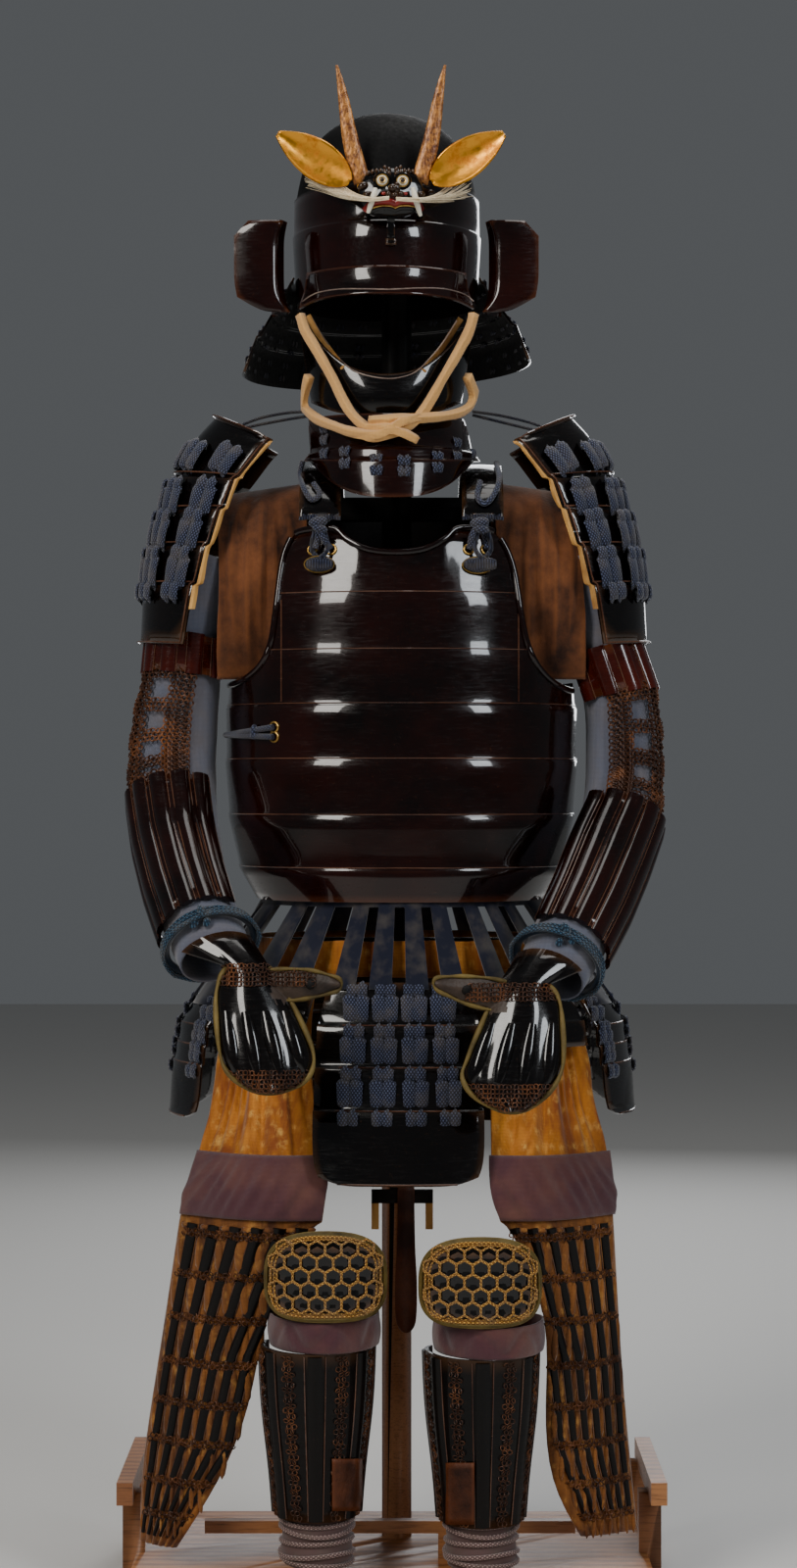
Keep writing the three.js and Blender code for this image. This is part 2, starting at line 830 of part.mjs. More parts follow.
// Shoulder guards: curved panels hung outside each shoulder, a top plate and five lames.
// Heights and places at the front and back edges and at the middle of the curve.
const GUARD_ROWS = table(
  ["edgeZ", "middleZ", "edgeX", "middleX", "half"],
  [
    [1004, 1008, 226, 279, 92],
    [1066, 1070, 216, 276, 93],
    [1069, 1073, 211, 272, 92],
    [1108, 1112, 202, 269, 93],
    [1111, 1115, 197, 264, 92],
    [1147, 1151, 186, 258, 92],
    [1150, 1154, 181, 252, 90],
    [1180, 1188, 171, 246, 88],
    [1183, 1192, 165, 240, 86],
    [1212, 1232, 143, 219, 79],
    [1219, 1240, 137, 212, 77],
    [1224, 1257, 131, 196, 72],
  ],
);

// How far each guard stands outside its table, so that it rests on its arm.
const GUARD_OUT = { "-1": -3.3, 1: 0 };

function shoulderGuard(sign) {
  const sheet = patch(
    6,
    GUARD_ROWS.length - 1,
    (u, v, i, j) => {
      const { edgeZ, middleZ, edgeX, middleX, half } = GUARD_ROWS[j];
      const s = 2 * u - 1;
      const bow = 1 - Math.abs(s) ** 2.5;
      const x = mix(edgeX, middleX, bow);
      return new THREE.Vector3(sign * (x + GUARD_OUT[sign]), s * half, mix(edgeZ, middleZ, bow));
    },
    { away: [sign * 120, 0] },
  );
  return wall(sheet, PLATE);
}

// Arms: the sleeve's sections from the shoulder to the wrist.
const ARM_ROWS = {
  left: table(
    ["x", "y", "z", "wide", "deep"],
    [
      [-190, -12, 1100, 40, 66.6],
      [-208, -11, 1060, 40, 62],
      [-222, -14, 1014, 41, 52],
      [-225, -18, 971, 42, 50],
      [-232, -22, 925, 46, 50],
      [-235, -28, 880, 48, 50],
      [-234, -46, 838, 48, 50],
      [-226, -84, 790, 46, 46],
      [-212, -130, 745, 45, 44],
      [-196, -176, 706, 44, 40],
      [-180, -212, 676, 42, 34],
    ],
  ),
  right: table(
    ["x", "y", "z", "wide", "deep"],
    [
      [198, -12, 1100, 40, 66.6],
      [216, -11, 1050, 39, 62],
      [229, -14, 1000, 38, 52],
      [246, -18, 950, 39, 50],
      [249, -22, 905, 42, 50],
      [249, -28, 858, 42, 50],
      [245, -48, 815, 44, 50],
      [224, -88, 770, 46, 46],
      [203, -134, 726, 45, 44],
      [181, -180, 687, 43, 40],
      [162, -216, 658, 40, 34],
    ],
  ),
};

function armPoint(rows, t, angle, out) {
  const place = t * (rows.length - 1);
  const i = Math.min(rows.length - 2, Math.floor(place));
  const part = place - i;
  const at = (k) => new THREE.Vector3(rows[k].x, rows[k].y, rows[k].z);
  const slope = (k) => at(Math.min(rows.length - 1, k + 1)).sub(at(Math.max(0, k - 1))).normalize();
  const along = slope(i).lerp(slope(i + 1), part).normalize();
  const across = new THREE.Vector3(1, 0, 0);
  across.addScaledVector(along, -across.dot(along)).normalize();
  const through = across.clone().cross(along);
  const wide = mix(rows[i].wide, rows[i + 1].wide, part) + out;
  const deep = mix(rows[i].deep, rows[i + 1].deep, part) + out;
  return at(i)
    .lerp(at(i + 1), part)
    .addScaledVector(across, wide * Math.cos(angle))
    .addScaledVector(through, deep * Math.sin(angle));
}

const SLEEVE_COLUMNS = 9;

function sleeve(rows) {
  const count = rows.length - 1;
  const sheet = patch(SLEEVE_COLUMNS, count, (u, v) => armPoint(rows, v, u * 2 * Math.PI, 0), {
    closed: true,
    away: [rows[4].x, rows[4].y],
  });
  const lining = (u, v) => armPoint(rows, v, u * 2 * Math.PI, -CLOTH);
  const inner = patch(SLEEVE_COLUMNS, count, lining, { closed: true });
  return tubeBetween(sheet, inner, SLEEVE_COLUMNS);
}

// A wall between two patches of one closed tube.
function tubeBetween(outer, inner, columns) {
  const n = outer.points.length;
  const top = n - columns;
  const faces = [...outer.faces, ...outer.faces.map(([a, b, c]) => [a + n, c + n, b + n])];
  for (let i = 0; i < columns; i += 1) {
    const k = (i + 1) % columns;
    faces.push([i, k, k + n], [i, k + n, i + n]);
    faces.push([top + k, top + i, top + i + n], [top + k, top + i + n, top + k + n]);
  }
  const halves = new Set(outer.faces.flatMap(([a, b, c]) => [`${a},${b}`, `${b},${c}`, `${c},${a}`]));
  const rings = faces.slice(2 * outer.faces.length);
  const walls = halves.has("0,1") ? rings.map(([a, b, c]) => [a, c, b]) : rings;
  const body = [...faces.slice(0, 2 * outer.faces.length), ...walls];
  return outward(geometryFrom([...outer.points, ...inner.points], body));
}

// Splints laid on a sleeve: a plate with upright ridges, over part of the way round and along.
function splints(rows, { from, to, start, end, count, steps, ridge }) {
  const columns = count * 3;
  const out = GAP + PLATE + 0.15;
  const raised = (i) => (i % 3 ? ridge : 0);
  const point = (rise) => (u, v, i) => armPoint(rows, mix(start, end, v), mix(from, to, u), out + rise(i));
  const middle = rows[Math.round(((start + end) / 2) * (rows.length - 1))];
  const away = [middle.x, middle.y, middle.z];
  const outer = patch(columns, steps, point(raised), { away });
  const base = patch(columns, steps, point(() => 0), { away });
  return wall(outer, PLATE, { points: base.points });
}

// The way round a sleeve from its outer back, over the front, to its inner side.
const turned = (sign, from, to) =>
  sign < 0 ? { from: -from * DEG, to: -to * DEG } : { from: (from - 180) * DEG, to: (to - 180) * DEG };

const UPPER_SPLINTS = { start: 0.2, end: 0.3, count: 5, steps: 1, ridge: 1.6 };
const FOREARM_SPLINTS = { start: 0.6, end: 0.9, count: 6, steps: 3, ridge: 2 };

// Hand guards: rows from the wrist to the finger ends, with both edges and the depth.
const HAND_ROWS = {
  left: table(
    ["z", "near", "far", "y"],
    [
      [546, -136, -110, -284],
      [554, -153, -90, -282],
      [570, -168, -79, -278],
      [592, -174, -81, -272],
      [634, -178, -101, -259],
      [655, -175, -114, -252],
      [669, -168, -124, -247],
    ],
  ),
  right: table(
    ["z", "near", "far", "y"],
    [
      [528, 108, 134, -290],
      [540, 84, 153, -287],
      [560, 71, 168, -282],
      [580, 77, 173, -276],
      [622, 95, 172, -263],
      [640, 101, 168, -256],
      [651, 108, 160, -251],
    ],
  ),
};
const HAND = { columns: 12, crown: 15, flute: 2.6, knuckles: 612, wristAt: 1.003, wrap: 35 * DEG };
const THUMB_ROWS = {
  left: table(
    ["x", "y", "z", "half"],
    [
      [-122, -254, 652, 15],
      [-102, -260, 652, 16],
      [-82, -265, 653, 14],
      [-65, -268, 653, 10],
      [-52, -270, 653, 5],
    ],
  ),
  right: table(
    ["x", "y", "z", "half"],
    [
      [116, -258, 640, 15],
      [98, -263, 643, 16],
      [76, -268, 647, 14],
      [58, -271, 651, 10],
      [44, -273, 654, 5],
    ],
  ),
};

function handGuard(word) {
  const rows = HAND_ROWS[word];
  const point = (flutes) => (u, v, i, j) => {
    if (j === rows.length) {
      const angle = mix(-HAND.wrap, HAND.wrap - Math.PI, 1 - u);
      return armPoint(ARM_ROWS[word], HAND.wristAt, angle, PLATE + GAP + 0.3);
    }
    const { z, near, far, y } = rows[j];
    const s = 2 * u - 1;
    const fade = Math.min(1, Math.max(0, (HAND.knuckles + 20 - z) / 40));
    const flute = flutes && i % 3 && i < HAND.columns ? HAND.flute * fade : 0;
    return new THREE.Vector3(mix(near, far, u), y - HAND.crown * (1 - s * s) - flute, z);
  };
  const away = [rows[4].near, 200];
  const outer = patch(HAND.columns, rows.length, point(true), { away });
  const base = patch(HAND.columns, rows.length, point(false), { away });
  const thumbRows = THUMB_ROWS[word];
  const thumb = patch(
    thumbRows.length - 1,
    2,
    (u, v, i) => {
      const { x, y, z, half } = thumbRows[i];
      const s = 2 * v - 1;
      return new THREE.Vector3(x, y - 5 * (1 - s * s), z + s * half);
    },
    { away },
  );
  return join(wall(outer, PLATE, { points: base.points }), wall(thumb, PLATE));
}

const WRIST = { t: 0.95, r: 4.5, turns: 14 };

function wristCord(rows) {
  const path = Array.from({ length: WRIST.turns }, (_, k) => {
    const angle = (k / WRIST.turns) * 2 * Math.PI;
    const { x, y, z } = armPoint(rows, WRIST.t, angle, WRIST.r + 1);
    return { x, y, z, r: WRIST.r };
  });
  return rod(path, 5, { closed: true });
}

// Hips: the surface that the hanging laces and the skirt panels follow.
const HIP_ROWS = table(
  ["z", "half", "front", "back"],
  [
    [744, 151.5, 148.5, 121.5],
    [728, 152.5, 149.5, 122.5],
    [700, 170, 154, 130],
    [646, 212, 163, 148],
    [600, 241, 171, 162],
    [500, 245, 189, 176],
    [430, 245, 202, 182],
  ],
);

const hipPoint = (angle, z, out) => sectionPoint(rowAt(HIP_ROWS, "z", z), angle, z, out, HIP_X);

// Skirt panels: where each lies round the hips in degrees, and the edges of its lames from the top.
const SKIRTS = [
  { name: "tasset_front", from: -111.5, to: -70.5, edges: [648, 605, 562, 518, 441], laces: 4 },
  { name: "tasset_front_left", from: -142, to: -115, edges: [640, 606, 578], laces: 2 },
  { name: "tasset_front_right", from: -67, to: -37, edges: [640, 606, 578], laces: 3 },
  { name: "tasset_side_left", from: -214, to: -148, edges: [626, 599, 578, 558, 499], laces: 3 },
  { name: "tasset_side_right", from: -32, to: 34, edges: [626, 599, 578, 558, 502], laces: 3 },
  { name: "tasset_back", from: 38, to: 142, edges: [640, 600, 560, 520, 470], laces: 6 },
];
const SKIRT_STEP = 3.2;
const SKIRT_CORNER = 24;

function skirt({ from, to, edges }) {
  const rows = lameRows(edges, SKIRT_STEP);
  const low = edges[edges.length - 1];
  const tall = edges.length > 3;
  const { out } = rows[0];
  if (tall) rows.splice(1, 0, { z: low + SKIRT_CORNER * 0.35, out }, { z: low + SKIRT_CORNER, out });
  const columns = Math.max(5, Math.round((to - from) / 13));
  const sheet = patch(
    columns,
    rows.length - 1,
    (u, v, i, j) => {
      const { z, out } = rows[j];
      const down = Math.max(0, 1 - (z - low) / SKIRT_CORNER);
      const inset = tall ? (1 - Math.sqrt(1 - down * down)) * SKIRT_CORNER * 0.28 : 0;
      return hipPoint(mix(from + inset, to - inset, u) * DEG, z, out);
    },
    { away: [HIP_X, 0] },
  );
  return wall(sheet, PLATE);
}

// Hanging laces: flat pairs below one ring inside the body armour's hem, each down to its panel.
const LACE = { share: 0.62, overlap: 7, out: 3.3, slope: 1.1, top: 742, hem: 726 };

function hangingLaces() {
  const edges = [];
  for (const { from, to, edges: lames, laces } of SKIRTS)
    for (let k = 0; k < laces; k += 1) {
      const cell = (to - from) / laces;
      const middle = from + cell * (k + 0.5);
      const foot = lames[0] - LACE.overlap;
      edges.push({ angle: middle - (cell * LACE.share) / 2, foot, lace: true });
      edges.push({ angle: middle + (cell * LACE.share) / 2, foot, lace: false });
    }
  edges.sort((a, b) => a.angle - b.angle);
  const sheet = patch(
    edges.length,
    3,
    (u, v, i, j) => {
      const { angle, foot } = edges[i];
      const z = [foot, foot + LACE.overlap + 3, LACE.hem, LACE.top][j];
      const steep = LACE.out + LACE.slope * Math.abs(Math.cos(angle * DEG));
      return hipPoint(angle * DEG, z, j < 2 ? steep : 0);
    },
    { closed: true, keep: (i, j) => j === 2 || edges[i].lace, away: [HIP_X, 0] },
  );
  return wall(sheet, CLOTH);
}

// Thigh guards: cloth skirt, purple band and a lower part with upright splints.
// Inner and outer edges by height, with how far the cloth bows forward between them.
const THIGH_COLUMNS = ["z", "inX", "inY", "outX", "outY", "bow"];
const THIGH_ROWS = {
  left: table(THIGH_COLUMNS, [
    [660, -78, -131, -152, -64, 12],
    [610, -84, -138, -190, -70, 16],
    [560, -84, -144, -192, -86, 20],
    [510, -78, -152, -188, -98, 22],
    [470, -70, -166, -204, -122, 24],
    [443, -66, -178, -212, -132, 26],
    [402, -72, -190, -222, -140, 24],
    [392, -90, -186, -224, -138, 22],
    [350, -120, -178, -231, -128, 18],
    [300, -134, -168, -238, -118, 18],
    [250, -140, -164, -246, -112, 18],
    [205, -146, -164, -254, -108, 18],
    [165, -166, -160, -261, -106, 18],
    [125, -180, -156, -266, -104, 16],
    [82, -202, -150, -268, -104, 12],
    [54, -226, -140, -267, -106, 6],
  ]),
  right: table(THIGH_COLUMNS, [
    [660, 100, -131, 174, -64, 12],
    [610, 103, -138, 212, -70, 16],
    [560, 102, -144, 216, -86, 20],
    [510, 101, -152, 212, -98, 22],
    [478, 101, -164, 228, -118, 24],
    [443, 100, -178, 232, -132, 26],
    [402, 112, -190, 232, -140, 24],
    [392, 126, -186, 233, -138, 22],
    [350, 150, -178, 235, -128, 18],
    [300, 166, -168, 239, -118, 18],
    [250, 166, -164, 242, -112, 18],
    [205, 158, -164, 246, -108, 18],
    [165, 159, -162, 249, -106, 18],
    [125, 164, -158, 254, -104, 16],
    [92, 176, -152, 258, -104, 12],
    [66, 198, -140, 260, -106, 6],
  ]),
};
const THIGH = { top: 660, seam: 430, folds: 3, fold: 3, splints: 6, ridge: 2.2 };

function thighPoint(word, u, z, out) {
  const rows = THIGH_ROWS[word];
  const place = (at, level) => {
    const { inX, inY, outX, outY, bow } = rowAt(rows, "z", level);
    return new THREE.Vector3(mix(inX, outX, at), mix(inY, outY, at) - bow * Math.sin(Math.PI * at), level);
  };
  const here = place(u, z);
  if (!out) return here;
  const along = place(Math.min(1, u + 0.02), z).sub(place(Math.max(0, u - 0.02), z));
  const up = place(u, Math.min(THIGH.top, z + 4)).sub(place(u, Math.max(54, z - 4)));
  const normal = along.cross(up).normalize();
  if (normal.y > 0) normal.negate();
  return here.addScaledVector(normal, out);
}

const thighAway = (word) => [word === "left" ? -150 : 170, 200];

function thighCloth(word) {
  const levels = [THIGH.seam + 2 * GAP, 470, 520, 575, THIGH.top];
  const sheet = patch(
    14,
    levels.length - 1,
    (u, v, i, j) => {
      const z = levels[j];
      const depth = THIGH.fold * Math.min(1, (THIGH.top - z) / 80) * (z < 470 ? 0.3 : 1);
      return thighPoint(word, u, z, depth * (Math.sin(u * THIGH.folds * 2 * Math.PI + z / 60) - 1));
    },
    { away: thighAway(word) },
  );
  return wall(sheet, CLOTH);
}

function thighSplints(word) {
  const rows = THIGH_ROWS[word].filter(({ z }, k) => z < 400 && (k % 2 || z < 70));
  const levels = [...rows.map(({ z }) => z).reverse(), 402, THIGH.seam];
  const columns = THIGH.splints * 3;
  const splint = (i, z) => (i % 3 && z < 400 ? THIGH.ridge : 0);
  const point = (raised) => (u, v, i, j) => thighPoint(word, u, levels[j], raised ? splint(i, levels[j]) : 0);
  const away = thighAway(word);
  const outer = patch(columns, levels.length - 1, point(true), { away });
  const base = patch(columns, levels.length - 1, point(false), { away });
  return wall(outer, CLOTH, { points: base.points });
}

function thighBand(word) {
  const levels = [404, 436, 468];
  const sheet = patch(
    10,
    levels.length - 1,
    (u, v, i, j) => thighPoint(word, mix(0.01, 0.99, u), levels[j], CLOTH + GAP + 1.2),
    { away: thighAway(word) },
  );
  return wall(sheet, CLOTH);
}

// The belt that both thigh guards hang from.
const BELT = { low: 652, high: 690, half: 166, front: 144, back: 122 };

function thighBelt() {
  const sheet = patch(
    18,
    1,
    (u, v) => sectionPoint(BELT, u * 2 * Math.PI, mix(BELT.low, BELT.high, v), 0, HIP_X),
    { closed: true, away: [HIP_X, 0] },
  );
  return wall(sheet, CLOTH);
}

// Legs: the shin guards' sections and the knee guards above them.
const LEG = {
  left: { x: -78, kneeX: -67.5, lean: 1, lift: 0 },
  right: { x: 93, kneeX: 90.5, lean: -1, lift: -6 },
};
const SHIN_ROWS = table(
  ["z", "half", "front"],
  [
    [96, 43, 50],
    [150, 47, 58],
    [210, 56, 70],
    [273.4, 58, 76],
  ],
);
const SHIN_Y = -162;
const SHIN_SPLINTS = 5;

function shinGuard(word) {
  const { x, lift } = LEG[word];
  const columns = SHIN_SPLINTS * 3;
  const point = (raised) => (u, v, i, j) => {
    const { z, half, front } = SHIN_ROWS[j];
    const out = raised && i % 3 ? 1.8 : 0;
    const row = { half, front, back: 40 };
    return sectionPoint(row, mix(-205 * DEG, 25 * DEG, u), z + lift, out, x, SHIN_Y);
  };
  const away = [x, SHIN_Y];
  const outer = patch(columns, SHIN_ROWS.length - 1, point(true), { away });
  const base = patch(columns, SHIN_ROWS.length - 1, point(false), { away });
  return wall(outer, PLATE, { points: base.points });
}

// Knee guards: a curved pad of six-sided cells with raised edges, inside a corded rim.
const KNEE = {
  half: 60,
  low: 310,
  high: 399,
  y: -254,
  bow: 22,
  pitch: 15.4,
  raise: 1.6,
  sink: 2.2,
  rim: 22,
  cord: 3.5,
};

function kneeSurface(x, z, out) {
  const across = x / KNEE.half;
  return KNEE.y + KNEE.bow * across * across - out + 0.12 * (KNEE.high - z);
}

function kneeGuard(word) {
  const { kneeX, lift } = LEG[word];
  const { pitch, low } = KNEE;
  const radius = pitch / Math.sqrt(3);
  const points = [];
  const faces = [];
  const known = new Map();
  const corner = (x, z, out) => {
    const key = `${Math.round(x * 4)},${Math.round(z * 4)}`;
    if (!known.has(key)) {
      const corner = new THREE.Vector3(kneeX + x, kneeSurface(x, z, out), z + lift);
      known.set(key, points.push(corner) - 1);
    }
    return known.get(key);
  };
  const cells = [
    { z: 0, count: 6 },
    { z: 1, count: 7 },
    { z: 2, count: 6 },
    { z: 3, count: 7 },
    { z: 4, count: 6 },
  ];
  for (const { z: row, count } of cells) {
    const z = low + 14 + row * radius * 1.5;
    for (let k = 0; k < count; k += 1) {
      const x = (k - (count - 1) / 2) * pitch;
      const middle = corner(x, z, -KNEE.sink + KNEE.raise);
      const ring = Array.from({ length: 6 }, (_, n) => {
        const angle = (n * 60 + 30) * DEG;
        return corner(x + radius * Math.cos(angle), z + radius * Math.sin(angle), KNEE.raise);
      });
      ring.forEach((a, n) => faces.push([a, ring[(n + 1) % 6], middle]));
    }
  }
  const sheet = facing({ points, faces }, [kneeX, 200]);
  const base = points.map((p) => new THREE.Vector3(p.x, kneeSurface(p.x - kneeX, p.z - lift, 0), p.z));
  return wall(sheet, CLOTH, { points: base });
}

// The corded rim: straight-sided below, domed above, lying round the outside of the cells.
function kneeRim(word) {
  const { kneeX, lift } = LEG[word];
  const { half, low, high, cord, rim } = KNEE;
  const path = Array.from({ length: rim }, (_, k) => {
    const angle = (k / rim) * 2 * Math.PI;
    const [c, s] = [Math.cos(angle), Math.sin(angle)];
    const power = s > 0 ? 2.6 : 5;
    const grow = (Math.abs(c) ** power + Math.abs(s) ** power) ** (-1 / power);
    const x = half * c * grow;
    const z = (low + high) / 2 + ((high - low) / 2) * s * grow;
    return { x: kneeX + x, y: kneeSurface(x, z, -1), z: z + lift, r: cord };
  });
  return rod(path, 4, { closed: true });
}

// The tie round each knee, and the cords round each ankle.
const KNEE_TIE = { low: 274, high: 306, half: 59, front: 80, back: 42 };

function kneeTie(word) {
  const { x, lift } = LEG[word];
  const levels = [0, 0.5, 1];
  const sheet = patch(
    14,
    levels.length - 1,
    (u, v, i, j) => {
      const z = mix(KNEE_TIE.low, KNEE_TIE.high, levels[j]) + lift;
      const puff = 3 * Math.sin(Math.PI * levels[j]);
      return sectionPoint(KNEE_TIE, u * 2 * Math.PI, z, puff, x + 8, SHIN_Y);
    },
    { closed: true, away: [x, SHIN_Y] },
  );
  return wall(sheet, CLOTH);
}

const ANKLE = { low: 46, pitch: 27, turns: 2, half: 36.4, front: 43.4, back: 36, cord: 3.5 };

function ankleTie(word) {
  const { x, lift } = LEG[word];
  const rows = ANKLE.turns * 2 + 1;
  const sheet = patch(
    12,
    rows - 1,
    (u, v, i, j) => {
      const z = ANKLE.low + (j * ANKLE.pitch) / 2 + lift / 2;
      return sectionPoint(ANKLE, u * 2 * Math.PI, z, j % 2 ? ANKLE.cord : 0, x, SHIN_Y);
    },
    { closed: true, away: [x, SHIN_Y] },
  );
  return wall(sheet, CLOTH);
}

// Stand: a board with side rails, a column with hip, shoulder and head supports, and two leg posts.
const BOARD = { x: 0, y: -52, wide: 548, deep: 372, high: 30 };
const COLUMN = { x: 5, y: 20, radius: 17 };
const RAIL = { x: 283, low: 91, high: 24, wide: 17, fromY: -110, toY: 130 };
const SHIN_RAIL = { x: -2, y: -104, wide: 392, deep: 14, low: 62, high: 13 };

function stand() {
  const { x, y, radius } = COLUMN;
  const parts = [
    box(BOARD.x, BOARD.y, 0, BOARD.wide, BOARD.deep, BOARD.high),
    post(x, y, BOARD.high - 2, radius, 1560 - BOARD.high, 10),
    post(x - 8, y - 16, 1540, 14, 40.5, 8, 8),
    box(x, y, 1144, 240, 30, 24.5),
    box(HIP_X, y, 660, 311, 30, 26),
    box(x, y + 4, 1540, 34, 40, 20),
  ];
  const length = RAIL.toY - RAIL.fromY;
  for (const { sign } of SIDES) {
    parts.push(box(sign * RAIL.x, (RAIL.fromY + RAIL.toY) / 2, RAIL.low, RAIL.wide, length, RAIL.high));
    for (const at of [RAIL.fromY + 60, RAIL.toY - 30])
      parts.push(box(sign * (RAIL.x - 6), at, 0, 24, 24, RAIL.low + 4));
  }
  for (const { word } of SIDES) {
    const leg = LEG[word];
    parts.push(post(leg.x, SHIN_Y, BOARD.high - 2, 13, 312, 8));
    parts.push(box(leg.kneeX, SHIN_Y - 36, 330 + leg.lift, 40, 86, 30));
  }
  parts.push(box(SHIN_RAIL.x, SHIN_RAIL.y, SHIN_RAIL.low, SHIN_RAIL.wide, SHIN_RAIL.deep, SHIN_RAIL.high));
  for (const end of [-1, 1])
    parts.push(box(SHIN_RAIL.x + end * 60, SHIN_RAIL.y, BOARD.high - 2, 18, SHIN_RAIL.deep, 40));
  parts.push(box(11, -20, 405, 16, 70, 14));
  parts.push(box(11, -58, 405, 66, 10, 14), box(-18, -58, 377, 8, 10, 36), box(40, -58, 377, 8, 10, 36));
  return join(...parts);
}

// A rounded leather tab and cord ends that hang in front of the stand's bracket.
function centreTab() {
  const rows = table(
    ["z", "half"],
    [
      [267, 4],
      [272, 9],
      [282, 12],
      [330, 12],
      [345, 10],
      [404, 9],
      [424, 9],
    ],
  );
  const sheet = patch(
    4,
    rows.length - 1,
    (u, v, i, j) => {
      const across = 2 * u - 1;
      return new THREE.Vector3(15 + across * rows[j].half, -66.5 - 3 * (1 - across ** 2), rows[j].z);
    },
    { away: [15, 200] },
  );
  return wall(sheet, PLATE);
}

add("helmet_bowl", helmetBowl(), "matt");
add("helmet_peak", wall(peak, PLATE), "lacquer");
add("neck_guard", neckGuard(), "lacquer");
add("crest_face", beastFace(), "lacquer");
add("face_guard", faceGuard(), "lacquer");
add("throat_guard", throatGuard(), "lacquer");
add("chin_rope", chinRope(), "rope");
add("body_front", bodyHalf(-Math.PI + PARTING, -PARTING, FRONT_OUTLINE, -260, 40), "lacquer");
add("body_back", bodyHalf(PARTING, Math.PI - PARTING, BACK_OUTLINE, -40, 260), "lacquer");
for (const { word, sign } of SIDES) {
  const arm = ARM_ROWS[word];
  add(`turned_wing_${word}`, wing(sign), "lacquer");
  add(`crest_horn_${word}`, horn(sign), "horn");
  add(`crest_ear_${word}`, ear(sign), "gold");
  add(`crest_whiskers_${word}`, whiskers(sign), "hair");
  add(`shoulder_cloth_${word}`, shoulderCloth(sign), "suede");
  add(`shoulder_strap_${word}`, shoulderStrap(sign), "lacing");
  add(`shoulder_guard_${word}`, shoulderGuard(sign), "lacquer");
  add(`sleeve_${word}`, sleeve(arm), "sleeve");
  add(`upper_splints_${word}`, splints(arm, { ...UPPER_SPLINTS, ...turned(sign, 20, 200) }), "lacquer");
  add(`forearm_splints_${word}`, splints(arm, { ...FOREARM_SPLINTS, ...turned(sign, 40, 205) }), "lacquer");
  add(`hand_guard_${word}`, handGuard(word), "lacquer");
  add(`wrist_cord_${word}`, wristCord(arm), "lacing");
  add(`thigh_cloth_${word}`, thighCloth(word), "brocade");
  add(`thigh_splints_${word}`, thighSplints(word), "brocade");
  add(`thigh_band_${word}`, thighBand(word), "band");
  add(`shin_guard_${word}`, shinGuard(word), "lacquer");
  add(`knee_guard_${word}`, kneeGuard(word), "matt");
  add(`knee_rim_${word}`, kneeRim(word), "leather");
  add(`knee_tie_${word}`, kneeTie(word), "band");
  add(`ankle_tie_${word}`, ankleTie(word), "lacing");
}
for (const panel of SKIRTS) add(panel.name, skirt(panel), "lacquer");
add("hanging_laces", hangingLaces(), "lacing");
add("thigh_belt", thighBelt(), "brocade");
add("stand", stand(), "wood");
add("centre_tab", centreTab(), "leather");

export default suit;
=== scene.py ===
"""Samurai armour posed on a low wooden stand: the pieces' surfaces, cloth, lacing, chain and trim.

Metres, +Z up, the armour faces -Y. Every piece sits in world coordinates with its object at the origin.
"""

import math
import random

import bmesh
import bpy
from mathutils import Matrix, Vector, noise
from mathutils.bvhtree import BVHTree


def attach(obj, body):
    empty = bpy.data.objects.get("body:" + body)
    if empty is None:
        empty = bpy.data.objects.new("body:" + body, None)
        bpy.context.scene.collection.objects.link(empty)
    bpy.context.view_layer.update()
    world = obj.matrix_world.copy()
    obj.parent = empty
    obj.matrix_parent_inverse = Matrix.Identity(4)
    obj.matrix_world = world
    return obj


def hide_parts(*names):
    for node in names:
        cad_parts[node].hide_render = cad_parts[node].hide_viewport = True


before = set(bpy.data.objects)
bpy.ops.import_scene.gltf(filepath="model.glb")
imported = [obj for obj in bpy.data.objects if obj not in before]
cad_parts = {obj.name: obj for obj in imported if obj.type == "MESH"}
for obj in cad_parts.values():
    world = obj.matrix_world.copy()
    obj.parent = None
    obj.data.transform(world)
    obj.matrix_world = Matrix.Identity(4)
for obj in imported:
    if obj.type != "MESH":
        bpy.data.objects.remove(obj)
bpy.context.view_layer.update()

MM = 0.001
SIDES = ("left", "right")
UP, FRONT = Vector((0, 0, 1)), Vector((0, -1, 0))

# How far the suit is moved so that its box stands over the origin.
SHIFT = Vector((-0.00035, 0.05905, 0.0))

# Camera: level, 3.5 m in front of the suit's middle depth, with the photo's frame 1.7136 m high there.
DISTANCE = 3.5
FIELD = 1.7136
PHOTO = (813, 1600)
PIXEL = FIELD / PHOTO[1]
EYE = Vector((0.007, -DISTANCE, 0.855)) + SHIFT

random.seed(7)


# Materials.


